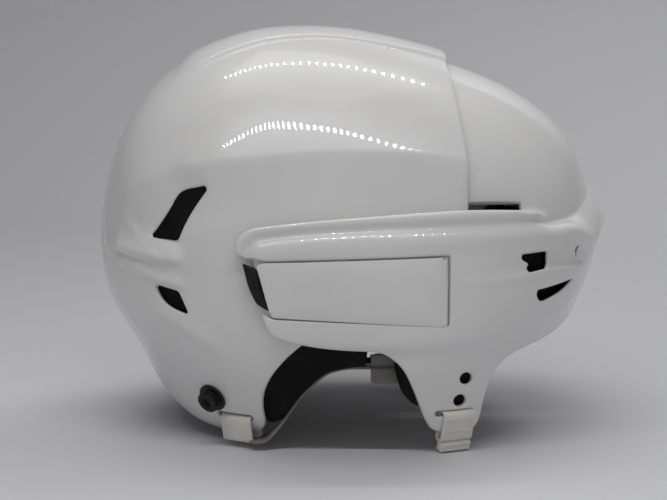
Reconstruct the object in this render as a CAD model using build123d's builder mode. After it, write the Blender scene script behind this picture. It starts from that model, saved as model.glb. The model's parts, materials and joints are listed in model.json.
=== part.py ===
from build123d import *

import math
import os

import numpy as np

# Driving sizes in millimetres: +X is the front, +Z is up, the loops stand on z = 0
length = 285.0
height = 222.5
half_breadth = 98.0

# Walls and the gaps between the layers
shell_wall = 3.0
shell_gap = 1.2
band_proud = 8.0
band_wall = 2.8
skirt_proud = 5.0
arm_clearance = 2.4
edge_proud = 5.0
strip_proud = 5.8
roll = 4.0
ledge_lap = 2.6
ledge_step = 0.8
ledge_wall = 2.0
liner_gap = 0.3
running_gap = 0.3
overrun = 6.0
far_out = 200.0

# Liner thicknesses
crown_liner_thickness = 12.0
side_liner_thickness = 8.0
forehead_liner_thickness = 14.0
temple_pad_thickness = 8.0

# Latch: a cover over a toothed lever, hinged on a pin in the arm
latch_cover_thickness = 2.2
latch_lever_thickness = 1.2
latch_bed_thickness = 1.4
latch_margin = 0.8
hinge_pin_radius = 1.0
hinge_barrel_radius = 1.9
hinge_play = 0.05
hinge_depth = 6.0
hinge_well = 7.0
hinge_span = 34.0
pin_bite = 4.0
rack_base = 1.3
rack_tooth_height = 1.8
rack_tooth_width = 1.8
rack_tooth_pitch = 4.0
rack_tooth_count = 8
rack_height = 12.0
rack_travel = 12.0
lever_tooth_width = 1.6

# Screws, posts and holes
visor_hole_radius = 3.4
post_flange_radius = 8.0
post_flange_thickness = 1.4
post_hub_radius = 5.0
post_hub_height = 4.6
post_rim_radius = 6.0
post_rim_height = 1.4
post_socket_radius = 2.2
post_socket_depth = 2.0
post_shank_radius = 2.8
post_plate_radius = 9.0
post_plate_thickness = 1.6
post_bore_play = 0.1
post_plate_gap = 0.8
anchor_boss_radius = 3.6
anchor_boss_depth = 16.0
anchor_screw_radius = 1.6
anchor_screw_depth = 10.0
anchor_head_radius = 3.2
anchor_head_height = 1.6
rack_screw_radius = 1.5
rack_screw_head_radius = 2.6
rack_screw_head_height = 1.0
edge_round = 0.5

# Straps and their loops
strap_width = 15.0
strap_thickness = 1.6
loop_width = 18.0
loop_wall = 1.8
loop_play = 0.25
front_loop_inner_play = 0.7
rear_loop_inner_play = 1.6
loop_round = 0.8
slot_length = 20.5
slot_height = 2.6
keeper_height = 5.6
keeper_thickness = 5.0
slider_length = 17.0
slider_height = 16.0
slider_wall = 1.2
slider_travel = 6.0
strap_clearance = 4.0
anchor_tab_width = 14.0
anchor_tab_height = 14.0
foot_trim = 0.4

# Raised band along the crown
ridge_height = 1.8
back_panel_height = 1.4

# How finely the form is sampled
fit_tolerance = 0.02
theta_step = 6.5
shell_columns = 33
band_columns = 61
pad_rows = 7
pad_columns = 9

# The form: its side-view profile about the ear, and how full and how wide it is
ear_shares = (-0.028, 0.135)
profile_shares = [
    (0.344, -0.022), (0.389, 0.180), (0.429, 0.297), (0.473, 0.449), (0.4835, 0.575),
    (0.465, 0.661), (0.437, 0.728), (0.372, 0.811), (0.295, 0.872), (0.175, 0.930),
    (0.051, 0.971), (-0.105, 0.991), (-0.224, 0.964), (-0.342, 0.883), (-0.428, 0.751),
    (-0.484, 0.573), (-0.495, 0.458), (-0.477, 0.346), (-0.428, 0.229), (-0.382, 0.112),
    (-0.346, 0.036), (-0.281, -0.018), (-0.193, -0.054),
]
side_fullness_share = 2.3
crown_fullness_share = 1.3
taper_share = 0.19
taper_height_share = 0.427

# Side-view outlines, as shares of the length and the height
rear_shell_shares = [
    (0.161, 1.079), (0.172, 0.921), (0.184, 0.845), (0.194, 0.755), (0.201, 0.679),
    (0.203, 0.584), (0.196, 0.449), (0.175, 0.301), (-0.070, 0.297), (-0.100, 0.268),
    (-0.127, 0.236), (-0.154, 0.191), (-0.166, 0.158), (-0.171, 0.118), (-0.166, 0.062),
    (-0.185, 0.030), (-0.225, 0.022), (-0.267, 0.026), (-0.323, 0.042), (-0.393, 0.090),
    (-0.561, 0.090), (-0.561, 1.079),
]
nape_shares = [(-0.160, -0.090), (-0.119, 0.081), (-0.056, 0.121), (0.056, 0.121), (0.119, 0.081), (0.160, -0.090)]
nape_front_share = -0.210
back_panel_shares = [
    (0.000, 0.700), (0.035, 0.665), (0.073, 0.545), (0.111, 0.476), (0.143, 0.428), (0.157, 0.361),
    (0.172, 0.310), (0.130, 0.225), (0.060, 0.180), (-0.060, 0.180), (-0.130, 0.225), (-0.172, 0.310),
    (-0.157, 0.361), (-0.143, 0.428), (-0.111, 0.476), (-0.073, 0.545), (-0.035, 0.665),
]
crown_shares = [
    (-0.334, 0.000), (-0.281, 0.034), (-0.221, 0.060), (-0.150, 0.084), (-0.080, 0.094),
    (0.048, 0.098), (0.175, 0.117), (0.175, -0.117), (0.048, -0.098), (-0.080, -0.094),
    (-0.150, -0.084), (-0.221, -0.060), (-0.281, -0.034),
]
cap_shares = [
    (0.070, 1.079), (0.070, 0.593), (0.268, 0.592), (0.279, 0.575), (0.285, 0.530),
    (0.526, 0.494), (0.526, 1.079),
]
band_top_shares = [
    (-0.225, 0.508), (-0.186, 0.536), (-0.098, 0.546), (0.076, 0.567), (0.200, 0.580),
    (0.310, 0.575), (0.369, 0.566), (0.411, 0.551), (0.453, 0.531), (0.498, 0.514),
]
groove_shares = [
    (-0.225, 0.480), (-0.165, 0.501), (-0.098, 0.519), (0.076, 0.545), (0.200, 0.549),
    (0.310, 0.542), (0.412, 0.525), (0.498, 0.495),
]
band_bottom_shares = [
    (-0.225, 0.283), (-0.158, 0.281), (-0.098, 0.272), (0.051, 0.254), (0.172, 0.267),
    (0.263, 0.279), (0.354, 0.306), (0.439, 0.360), (0.474, 0.380),
]
cap_foot_shares = [(0.290, 0.588), (0.379, 0.564), (0.418, 0.550), (0.442, 0.557), (0.461, 0.582)]
front_shell_shares = [
    (-0.209, 0.506), (-0.202, 0.528), (-0.186, 0.548), (0.000, 0.607), (0.211, 1.079),
    (0.561, 1.079), (0.561, 0.337), (0.451, 0.301), (0.435, 0.299), (0.389, 0.273),
    (0.323, 0.248), (0.273, 0.221), (0.250, 0.178), (0.237, 0.121), (0.229, 0.067),
    (0.216, 0.049), (0.156, 0.052), (0.140, 0.058), (0.130, 0.081), (0.116, 0.126),
    (0.100, 0.178), (0.078, 0.227), (0.051, 0.254), (-0.099, 0.272), (-0.150, 0.290),
    (-0.161, 0.332), (-0.161, 0.351), (-0.204, 0.467),
]
skirt_shares = [
    (0.040, 0.264), (0.172, 0.275), (0.263, 0.287), (0.354, 0.315), (0.439, 0.369),
    (0.500, 0.390), (0.561, 0.250), (0.300, -0.050), (0.040, -0.050),
]
cover_shares = [
    (-0.175, 0.458), (-0.165, 0.465), (0.161, 0.478), (0.161, 0.320), (-0.148, 0.343), (-0.153, 0.359),
]
tab_shares = [(-0.201, 0.467), (-0.176, 0.455), (-0.154, 0.358), (-0.176, 0.374), (-0.188, 0.406)]
window_shares = [
    (-0.240, 0.520), (-0.186, 0.475), (-0.165, 0.469), (0.167, 0.483), (0.167, 0.316), (-0.148, 0.338),
    (-0.240, 0.338),
]
bed_shares = [(-0.190, 0.480), (0.174, 0.495), (0.174, 0.300), (-0.145, 0.320)]
big_vent_shares = [
    (-0.375, 0.516), (-0.332, 0.609), (-0.309, 0.626), (-0.279, 0.632), (-0.271, 0.626),
    (-0.297, 0.571), (-0.316, 0.511), (-0.345, 0.510),
]
small_vent_shares = [(-0.365, 0.393), (-0.320, 0.386), (-0.304, 0.340), (-0.336, 0.350), (-0.356, 0.369)]
brow_vent_shares = [(0.297, 0.465), (0.305, 0.478), (0.348, 0.483), (0.350, 0.454), (0.342, 0.441), (0.311, 0.434)]
lower_vent_shares = [(0.328, 0.393), (0.332, 0.402), (0.410, 0.410), (0.375, 0.382), (0.335, 0.370)]
front_vent_shares = [(0.407, 0.485), (0.419, 0.485), (0.416, 0.456)]
side_liner_shares = [
    (-0.205, 0.200), (-0.195, 0.120), (-0.165, 0.088), (-0.133, 0.110), (-0.102, 0.160), (-0.055, 0.222),
    (-0.019, 0.240), (0.014, 0.240), (0.014, 0.297), (0.024, 0.539), (0.018, 0.719),
    (-0.211, 0.742), (-0.330, 0.690), (-0.410, 0.600), (-0.410, 0.350), (-0.300, 0.280),
]
lever_shares = [(-0.175, 0.452), (-0.028, 0.454), (-0.028, 0.355), (-0.155, 0.362)]
temple_pad_shares = [
    (0.071, 0.244), (0.075, 0.202), (0.089, 0.150), (0.108, 0.123), (0.132, 0.121),
    (0.168, 0.153), (0.175, 0.270),
]
forehead_low_shares = [(0.180, 0.275), (0.323, 0.290), (0.389, 0.305), (0.435, 0.330), (0.474, 0.345)]

# Places on the side view
visor_hole_shares = [(0.201, 0.186), (0.191, 0.129)]
front_slot_share = (0.185, 0.099)
front_loop_share = (0.187, 0.074)
rear_slot_share = (-0.221, 0.078)
rear_loop_share = (-0.221, 0.049)
post_share = (-0.263, 0.124)
hinge_share = (0.1545, 0.399)
anchor_share = (0.150, 0.165)
rack_share = (-0.070, 0.404)
strap_route_shares = [
    (-0.163, 0.020), (-0.130, 0.062), (-0.102, 0.127), (-0.055, 0.187), (-0.019, 0.200), (0.042, 0.200),
]
slider_share = (0.058, 0.200)

band_azimuth = 124.0
ledge_azimuth = 40.0
forehead_azimuth = 46.0
arm_azimuth = 52.0
rack_ear_share = 1.4
rack_screw_share = 0.62
bend_share = 0.45
strip_root_share = 0.7
loop_gap_share = 1.5


def spot(shares):
    """A side-view point from shares of the length and the height."""
    return shares[0] * length, shares[1] * height


def smooth_curve(places, values):
    """A natural cubic spline through the values, as a function of the place."""
    places = np.asarray(places, dtype=float)
    values = np.asarray(values, dtype=float)
    gaps = np.diff(places)
    slopes = np.diff(values) / gaps
    count = len(places)
    system = np.eye(count)
    turns = np.zeros(count)
    for row in range(1, count - 1):
        system[row, row - 1] = gaps[row - 1]
        system[row, row] = 2 * (gaps[row - 1] + gaps[row])
        system[row, row + 1] = gaps[row]
        turns[row] = 6 * (slopes[row] - slopes[row - 1])
    bends = np.linalg.solve(system, turns)

    def at(place):
        place = np.clip(place, places[0], places[-1])
        span = np.clip(np.searchsorted(places, place) - 1, 0, count - 2)
        before = place - places[span]
        after = places[span + 1] - place
        gap = gaps[span]
        curved = (bends[span] * after**3 + bends[span + 1] * before**3) / (6 * gap)
        rising = (values[span] / gap - bends[span] * gap / 6) * after
        falling = (values[span + 1] / gap - bends[span + 1] * gap / 6) * before
        return curved + rising + falling

    return at


def side_line(shares):
    """The height of a side-view line, as a function of x."""
    points = [spot(pair) for pair in shares]
    return smooth_curve([x for x, _ in points], [z for _, z in points])


ear_x, ear_z = spot(ear_shares)
profile = [spot(pair) for pair in profile_shares]
profile_angles = [math.degrees(math.atan2(z - ear_z, x - ear_x)) for x, z in profile]
profile_angles = [angle + 360 if angle < -90 else angle for angle in profile_angles]
profile_radii = [math.hypot(x - ear_x, z - ear_z) for x, z in profile]
profile_radius = smooth_curve(profile_angles, profile_radii)
taper_height = taper_height_share * height


def fullness(theta):
    return side_fullness_share + crown_fullness_share * np.sin(np.radians(theta)) ** 2


def breadth_at(z):
    depth = np.clip((taper_height - z) / taper_height, 0, 2)
    return half_breadth * (1 - taper_share * depth**2)


def reach_at(x, z, offset):
    """How far from the ear to the profile a side-view point lies, from 0 to 1, and its fullness."""
    theta = np.degrees(np.arctan2(z - ear_z, x - ear_x))
    theta = np.where(theta < -90, theta + 360, theta)
    reach = np.hypot(x - ear_x, z - ear_z) / (profile_radius(theta) + offset)
    return reach, fullness(theta)


def side_y(x, z, offset=0.0):
    """The half breadth of the form, grown by the offset, at a side-view point."""
    reach, power = reach_at(x, z, offset)
    return float((breadth_at(z) + offset) * np.sqrt(np.clip(1 - reach**power, 0, 1)))


def polar_grid(thetas, acrosses, offset):
    """Points of the grown form on rays from the ear: across is 0 at mid plane."""
    grid = []
    for theta in thetas:
        row = []
        for across in acrosses:
            reach = math.cos(across)
            radius = reach * (float(profile_radius(theta)) + offset)
            x = ear_x + radius * math.cos(math.radians(theta))
            z = ear_z + radius * math.sin(math.radians(theta))
            side = math.copysign(math.sqrt(1 - reach ** float(fullness(theta))), across)
            row.append((x, (float(breadth_at(z)) + offset) * side, z))
        grid.append(row)
    return grid


def ring_points(azimuths, line, offset):
    """Where a side-view line runs round the grown form, seen from the head's middle."""
    near = np.zeros_like(azimuths)
    far = np.full_like(azimuths, length)
    forward = np.cos(np.radians(azimuths))
    sideways = np.sin(np.radians(azimuths))
    for _ in range(44):
        middle = (near + far) / 2
        x = middle * forward
        y = middle * sideways
        z = line(x)
        reach, power = reach_at(x, z, offset)
        outside = reach**power + (y / (breadth_at(z) + offset)) ** 2 > 1
        far = np.where(outside, middle, far)
        near = np.where(outside, near, middle)
    return [(float(a), float(b), float(c)) for a, b, c in zip(x, y, z)]


def slab(outer, inner):
    """A closed solid between two grids of points, with ruled sides."""
    faces = [
        Face.make_surface_from_array_of_points(
            [[Vector(*point) for point in row] for row in grid], tol=fit_tolerance, min_deg=3, max_deg=3
        )
        for grid in (outer, inner)
    ]
    sides = [Face.make_surface_from_curves(a, b) for a, b in zip(faces[0].edges(), faces[1].edges())]
    return Solid(Shell([*faces, *sides]))


def polar_layer(theta_from, theta_to, outer, inner, across_from=-1.45, across_to=1.45, columns=shell_columns):
    """A layer of the form between two offsets."""
    rows = max(pad_rows, 1 + round((theta_to - theta_from) / theta_step))
    thetas = np.linspace(theta_from, theta_to, rows)
    acrosses = np.linspace(across_from, across_to, columns)
    return slab(polar_grid(thetas, acrosses, outer), polar_grid(thetas, acrosses, inner))


def ring_layer(azimuth_from, azimuth_to, rows, columns=band_columns):
    """A layer round the form: each row has an outer line and offset and an inner line and offset."""
    azimuths = np.linspace(azimuth_from, azimuth_to, columns)
    outer = [ring_points(azimuths, line, offset) for line, offset, _, _ in rows]
    inner = [ring_points(azimuths, line, offset) for _, _, line, offset in rows]
    return slab(outer, inner)


def raised(line, rise):
    return lambda x: line(x) + rise


def between(low, high, share):
    return lambda x: low(x) * (1 - share) + high(x) * share


def side_prism(shares, grow=0.0, near=-far_out, far=far_out):
    """The side-view outline, grown by a margin, drawn out across the helmet."""
    with BuildPart() as prism:
        with BuildSketch(Plane.XZ.offset(-far)):
            with BuildLine():
                Polyline(*[spot(pair) for pair in shares], close=True)
            make_face()
            if grow:
                offset(amount=grow, kind=Kind.INTERSECTION)
        extrude(amount=far - near)
    return prism.part


def skin_plane(x, z, offset=0.0, along=(1, 0, 0)):
    """A plane on the right side of the grown form: its normal points outward."""
    step = edge_round
    slope_x = (side_y(x + step, z, offset) - side_y(x - step, z, offset)) / (2 * step)
    slope_z = (side_y(x, z + step, offset) - side_y(x, z - step, offset)) / (2 * step)
    normal = Vector(-slope_x, -1, -slope_z).normalized()
    along = Vector(*along)
    along = along - normal * along.dot(normal)
    return Plane(origin=(x, -side_y(x, z, offset), z), x_dir=along, z_dir=normal)


def disc(plane, radius, low, high):
    """A round piece along a plane's normal, from one height to another."""
    with BuildPart() as piece:
        with BuildSketch(plane.offset(low)):
            Circle(radius)
        extrude(amount=high - low)
    return piece.part


def block(plane, width, depth, low, high):
    with BuildPart() as piece:
        with BuildSketch(plane.offset(low)):
            Rectangle(width, depth)
        extrude(amount=high - low)
    return piece.part


def slot_frame(loop_plane, slot_plane):
    """The plane of a slot in line with a loop, at the height of the slot's place."""
    along = loop_plane.x_dir
    aside = (slot_plane.origin - loop_plane.origin).dot(along)
    return Plane(origin=slot_plane.origin - along * aside, x_dir=along, z_dir=loop_plane.z_dir)


def both_sides(shape):
    return [shape, shape.mirror(Plane.XZ)]


def export(part, name):
    part.label = name
    export_step(part, f"parts/{name}.step")


def export_pair(part, name):
    """The right-hand piece and its mirror image on the left."""
    export(part, f"right_{name}")
    export(part.mirror(Plane.XZ), f"left_{name}")


os.makedirs("parts", exist_ok=True)

# Depths of the nested layers
cap_outer = -shell_wall - shell_gap
cap_inner = cap_outer - shell_wall
cover_inner = band_proud - latch_cover_thickness
lever_outer = cover_inner - running_gap
lever_inner = lever_outer - latch_lever_thickness
bed_outer = lever_inner - running_gap
bed_inner = bed_outer - latch_bed_thickness

band_top = side_line(band_top_shares)
groove = side_line(groove_shares)
band_bottom = side_line(band_bottom_shares)
cap_foot = side_line(cap_foot_shares)

# Places of the fittings on the right side
post_plane = skin_plane(*spot(post_share))
rear_loop_plane = skin_plane(*spot(rear_loop_share), along=(0.76, -0.60, 0.24))
rear_slot_plane = skin_plane(*spot(rear_slot_share), along=(0.76, -0.60, 0.24))
front_loop_plane = skin_plane(*spot(front_loop_share), skirt_proud)
front_slot_plane = skin_plane(*spot(front_slot_share), skirt_proud)
visor_planes = [skin_plane(*spot(pair), skirt_proud) for pair in visor_hole_shares]
anchor_plane = skin_plane(*spot(anchor_share), skirt_proud)
rack_x, rack_z = spot(rack_share)
rack_length = rack_tooth_pitch * rack_tooth_count
rack_screw_planes = [skin_plane(rack_x + side * rack_length * rack_screw_share, rack_z) for side in (-1, 1)]

# Rear shell
rear_skin = polar_layer(22.0, 220.0, 0.0, -shell_wall)
rear_outline = side_prism(rear_shell_shares)
crown_ridge = polar_layer(60.0, 160.0, ridge_height, -shell_wall / 2, -0.6, 0.6, 13)
with BuildPart() as crown_outline:
    with BuildSketch(Plane.XY):
        with BuildLine():
            Polyline(*[(x * length, y * length) for x, y in crown_shares], close=True)
        make_face()
    extrude(amount=height + far_out)
back_panel = polar_layer(132.0, 190.0, back_panel_height, -shell_wall / 2, -0.75, 0.75, 17)
with BuildPart() as back_outline:
    with BuildSketch(Plane.YZ.offset(nape_front_share * length)):
        with BuildLine():
            Polyline(*[(y * length, z * height) for y, z in back_panel_shares], close=True)
        make_face()
    extrude(amount=-far_out)
with BuildPart() as nape:
    with BuildSketch(Plane.YZ.offset(nape_front_share * length)):
        with BuildLine():
            Polyline(*[(y * length, z * height) for y, z in nape_shares], close=True)
        make_face()
    extrude(amount=-far_out)
shell_cuts = [side_prism(big_vent_shares), side_prism(small_vent_shares), nape.part]
rear_slot = block(slot_frame(rear_loop_plane, rear_slot_plane), slot_length, slot_height, -overrun, overrun)
shell_cuts += both_sides(rear_slot)
shell_cuts += both_sides(disc(post_plane, post_shank_radius + post_bore_play, -overrun, overrun))
for plane in rack_screw_planes:
    shell_cuts += both_sides(disc(plane, rack_screw_radius + post_bore_play, -overrun, overrun))

with BuildPart() as crown_band:
    add(crown_ridge)
    add(crown_outline.part, mode=Mode.INTERSECT)
with BuildPart() as back_band:
    add(back_panel)
    add(back_outline.part, mode=Mode.INTERSECT)
with BuildPart() as rear_shell:
    add(rear_skin)
    add(crown_band.part)
    add(back_band.part)
    add(rear_outline, mode=Mode.INTERSECT)
    for tool in shell_cuts:
        add(tool, mode=Mode.SUBTRACT)
export(rear_shell.part, "rear_shell")

# Front shell: cap, ledge, band with its arms, skirt with its ear pieces, and the latch beds
cap_skin = polar_layer(18.0, 104.0, cap_outer, cap_inner)
cap_outline = side_prism(cap_shares)
band_rows = [
    (band_bottom, edge_proud, band_bottom, arm_clearance),
    (raised(band_bottom, roll / 2), band_proud - roll / 4, raised(band_bottom, roll / 2), edge_proud),
]
for share in (0.0, 0.25, 0.5, 0.75, 1.0):
    line = between(raised(band_bottom, overrun), raised(groove, -overrun), share)
    band_rows.append((line, band_proud, line, band_proud - band_wall))
band_rows += [
    (raised(groove, -roll / 2), band_proud - roll / 4, raised(groove, -roll / 2), edge_proud),
    (groove, edge_proud, groove, arm_clearance),
]
band_skin = ring_layer(-band_azimuth, band_azimuth, band_rows)
strip_inner = arm_clearance + 1.5 * ledge_step
strip_root = raised(groove, -strip_root_share * roll)
strip_rows = [
    (strip_root, edge_proud + running_gap, strip_root, strip_inner),
    (between(groove, band_top, 0.5), strip_proud, between(groove, band_top, 0.5), strip_inner),
    (band_top, edge_proud - edge_round, band_top, strip_inner),
]
strip_skin = ring_layer(-band_azimuth, band_azimuth, strip_rows)
ledge_rows = []
for share, rise, outer, inner in (
    (0.0, -ledge_lap, edge_proud, arm_clearance + ledge_step),
    (0.0, ledge_step / 2, edge_proud - ledge_step, arm_clearance - ledge_step / 2),
    (0.5, 0.0, -ledge_step, -ledge_wall),
    (1.0, 0.0, cap_outer - ledge_step, cap_outer - ledge_wall),
    (1.0, ledge_wall / 2, cap_outer - ledge_wall, cap_inner + ledge_step / 2),
):
    ledge_line = between(band_top, cap_foot, share)
    ledge_rows.append((raised(ledge_line, rise), outer, raised(ledge_line, rise - ledge_lap), inner))
ledge_skin = ring_layer(-ledge_azimuth, ledge_azimuth, ledge_rows, 25)
skirt_skin = polar_layer(-24.0, 62.0, skirt_proud, skirt_proud - band_wall)
skirt_outline = side_prism(skirt_shares)
front_outline = side_prism(front_shell_shares)

window = side_prism(cover_shares, grow=latch_margin)
window_open = side_prism(window_shares)
bed_outline = side_prism(bed_shares)
bed_rows = []
pocket_rows = []
for share in (0.0, 0.33, 0.66, 1.0):
    pocket_line = between(band_bottom, groove, share)
    bed_line = between(raised(band_bottom, latch_margin), raised(groove, -latch_margin), share)
    bed_rows.append((bed_line, edge_proud + running_gap, bed_line, bed_inner))
    pocket_rows.append((pocket_line, band_proud + overrun, pocket_line, bed_outer))
bed_skin = ring_layer(-band_azimuth, band_azimuth, bed_rows)
pocket_skin = ring_layer(-band_azimuth, band_azimuth, pocket_rows)

# The latch hinge stands in a well at the front end of the window
hinge_x, hinge_z = spot(hinge_share)
hinge_y = -side_y(hinge_x, hinge_z, hinge_depth)
cover_low = hinge_z - hinge_span / 2
cover_high = hinge_z + hinge_span / 2
pin_low = cover_low - pin_bite
pin_high = cover_high + pin_bite


def upright(radius, low, high):
    """A vertical round piece on the hinge axis of the right-hand latch."""
    return disc(Plane(origin=(hinge_x, hinge_y, 0)), radius, low, high)


with BuildPart() as well:
    with BuildSketch(Plane.XY.offset(cover_low - latch_margin)):
        with Locations((hinge_x - hinge_well / 2 + hinge_barrel_radius + latch_margin, hinge_y)):
            Rectangle(hinge_well, 4 * hinge_barrel_radius)
    extrude(amount=hinge_span + 2 * latch_margin)

# The slot in each bed through which the lever's teeth reach the rack
rack_plane = skin_plane(rack_x, rack_z)
tooth_slot = block(
    Plane(origin=(rack_x + rack_travel / 2, rack_plane.origin.Y, rack_z), x_dir=(1, 0, 0), z_dir=(0, -1, 0)),
    2 * (rack_length * rack_screw_share + rack_screw_head_radius + latch_margin) + rack_travel,
    rack_height + 4 * latch_margin,
    -overrun,
    2 * overrun,
)

anchor_boss = disc(anchor_plane, anchor_boss_radius, -anchor_boss_depth, -band_wall / 2)
front_cuts = [side_prism(shares) for shares in (brow_vent_shares, lower_vent_shares, front_vent_shares)]
for tool in (
    block(slot_frame(front_loop_plane, front_slot_plane), slot_length, slot_height, -overrun, overrun),
    disc(anchor_plane, anchor_screw_radius + post_bore_play, -anchor_boss_depth - overrun, -anchor_screw_depth),
    upright(hinge_pin_radius + hinge_play, pin_low, pin_high),
    tooth_slot,
    well.part,
):
    front_cuts += both_sides(tool)
for plane in visor_planes:
    front_cuts += both_sides(disc(plane, visor_hole_radius, -overrun, overrun))

with BuildPart() as skirt:
    add(skirt_skin)
    add(skirt_outline, mode=Mode.INTERSECT)
with BuildPart() as cap:
    add(cap_skin)
    add(cap_outline, mode=Mode.INTERSECT)
with BuildPart() as bed:
    add(bed_skin)
    add(bed_outline, mode=Mode.INTERSECT)
with BuildPart() as pocket:
    add(pocket_skin)
    add(window_open, mode=Mode.INTERSECT)
with BuildPart() as front_shell:
    add(band_skin)
    add(strip_skin)
    add(bed.part)
    add(pocket.part, mode=Mode.SUBTRACT)
    add(skirt.part)
    add(ledge_skin)
    add(cap.part)
    add(front_outline, mode=Mode.INTERSECT)
    for tool in both_sides(anchor_boss):
        add(tool)
    for tool in front_cuts:
        add(tool, mode=Mode.SUBTRACT)
export(front_shell.part, "front_shell")

# Liners: foam pads behind the shells
pad_outer = -shell_wall - liner_gap
cap_pad_outer = cap_inner - liner_gap
skirt_pad_outer = skirt_proud - band_wall - liner_gap
crown_liner = polar_layer(86.0, 128.0, pad_outer, pad_outer - crown_liner_thickness, -0.5, 0.5, pad_columns)
export(crown_liner, "crown_liner")
rear_liner = polar_layer(133.0, 171.0, pad_outer, pad_outer - crown_liner_thickness, -0.55, 0.55, pad_columns)
export(rear_liner, "rear_liner")
front_crown_liner = polar_layer(37.0, 79.0, cap_pad_outer, cap_pad_outer - side_liner_thickness, -0.5, 0.5, pad_columns)
export(front_crown_liner, "front_crown_liner")

forehead_low = side_line(forehead_low_shares)
forehead_inner = skirt_pad_outer - forehead_liner_thickness
forehead_rows = []
for share in (0.0, 0.35, 0.7, 1.0):
    line = between(forehead_low, raised(band_top, -2 * overrun), share)
    forehead_rows.append((line, skirt_pad_outer, line, forehead_inner))
forehead_liner = ring_layer(-forehead_azimuth, forehead_azimuth, forehead_rows, 25)
export(forehead_liner, "forehead_liner")

side_liner_skin = polar_layer(20.0, 215.0, pad_outer, pad_outer - side_liner_thickness, -1.53, -0.60, 17)
with BuildPart() as side_liner:
    add(side_liner_skin)
    add(side_prism(side_liner_shares), mode=Mode.INTERSECT)
export_pair(side_liner.part, "side_liner")

temple_skin = polar_layer(
    -20.0, 62.0, skirt_pad_outer, skirt_pad_outer - temple_pad_thickness, -1.45, -0.85, pad_columns
)
with BuildPart() as temple_pad:
    add(temple_skin)
    add(side_prism(temple_pad_shares), mode=Mode.INTERSECT)
    add(disc(anchor_plane, anchor_boss_radius + running_gap, -far_out, overrun), mode=Mode.SUBTRACT)
export_pair(temple_pad.part, "temple_pad")

# Latches
cover_rows = []
for share in (0.0, 0.33, 0.66, 1.0):
    line = between(band_bottom, groove, share)
    cover_rows.append((line, band_proud, line, cover_inner))
cover_skin = ring_layer(-band_azimuth, -arm_azimuth, cover_rows, 31)
with BuildPart() as latch_cover:
    add(cover_skin)
    add(side_prism(cover_shares), mode=Mode.INTERSECT)
    add(upright(hinge_barrel_radius, cover_low, cover_high))
    add(upright(hinge_pin_radius + hinge_play, pin_low, pin_high), mode=Mode.SUBTRACT)
export_pair(latch_cover.part, "latch_cover")
export_pair(upright(hinge_pin_radius, pin_low + running_gap, pin_high - running_gap), "latch_pin")

lever_rows = [(line, lever_outer, line, lever_inner) for line, _, _, _ in cover_rows]
tab_rows = [(line, band_proud - hinge_play, line, lever_inner) for line, _, _, _ in cover_rows]
tooth_tip = rack_base + rack_tooth_height + 2 * running_gap
tooth_rows = [(line, lever_inner + running_gap, line, tooth_tip) for line, _, _, _ in cover_rows]
lever_teeth = []
for side in (-1, 1):
    lever_teeth.append(block(
        Plane(origin=(rack_x + side * rack_tooth_pitch, 0, rack_z), x_dir=(1, 0, 0), z_dir=(0, -1, 0)),
        lever_tooth_width, rack_height - 2 * latch_margin, 0, far_out,
    ))
with BuildPart() as lever_plate:
    add(ring_layer(-band_azimuth, -arm_azimuth, lever_rows, 31))
    add(side_prism(lever_shares), mode=Mode.INTERSECT)
with BuildPart() as lever_tab:
    add(ring_layer(-band_azimuth, -arm_azimuth, tab_rows, 31))
    add(side_prism(tab_shares), mode=Mode.INTERSECT)
with BuildPart() as lever_tooth_bars:
    add(lever_teeth)
    add(ring_layer(-band_azimuth, -arm_azimuth, tooth_rows, 31), mode=Mode.INTERSECT)
with BuildPart() as latch_lever:
    add(lever_plate.part)
    add(lever_tab.part)
    add(lever_tooth_bars.part)
export_pair(latch_lever.part, "latch_lever")

# Toothed racks, screwed to the rear shell
rack_side = Plane(origin=(rack_x, 0, rack_z), x_dir=(1, 0, 0), z_dir=(0, -1, 0))
rack_skin = polar_layer(60.0, 160.0, rack_base, hinge_play, -1.45, -1.0, pad_columns)
tooth_skin = polar_layer(60.0, 160.0, rack_base + rack_tooth_height, rack_base / 2, -1.45, -1.0, pad_columns)
rack_teeth = []
for number in range(rack_tooth_count + 1):
    tooth_x = rack_x + (number - rack_tooth_count / 2) * rack_tooth_pitch
    rack_teeth.append(block(
        Plane(origin=(tooth_x, 0, rack_z), x_dir=(1, 0, 0), z_dir=(0, -1, 0)),
        rack_tooth_width, rack_height, 0, far_out,
    ))
with BuildPart() as rack_tooth_bars:
    add(rack_teeth)
    add(tooth_skin, mode=Mode.INTERSECT)
with BuildPart() as adjust_rack:
    add(rack_skin)
    add(block(rack_side, rack_length * rack_ear_share, rack_height, 0, far_out), mode=Mode.INTERSECT)
    add(rack_tooth_bars.part)
    for plane in rack_screw_planes:
        add(disc(plane, rack_screw_radius + post_bore_play, -overrun, overrun), mode=Mode.SUBTRACT)
export_pair(adjust_rack.part, "adjust_rack")

with BuildPart() as rack_screws:
    for plane in rack_screw_planes:
        for tool in (
            disc(plane, rack_screw_radius, -shell_wall, rack_base + running_gap),
            disc(plane, rack_screw_head_radius, rack_base + running_gap, rack_base + rack_screw_head_height),
        ):
            add(tool)
            add(tool.mirror(Plane.XZ))
export(rack_screws.part, "rack_screws")

# Snap posts for the chin strap, with their plates inside the shell
with BuildPart() as snap_post:
    add(disc(post_plane, post_flange_radius, running_gap, post_flange_thickness))
    add(disc(post_plane, post_hub_radius, running_gap, post_hub_height))
    add(disc(post_plane, post_rim_radius, post_hub_height, post_hub_height + post_rim_height))
    add(disc(post_plane, post_shank_radius, -shell_wall - post_plate_gap - post_plate_thickness, running_gap))
    socket_top = post_hub_height + post_rim_height
    add(disc(post_plane, post_socket_radius, socket_top - post_socket_depth, socket_top), mode=Mode.SUBTRACT)
export_pair(snap_post.part, "snap_post")

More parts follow.
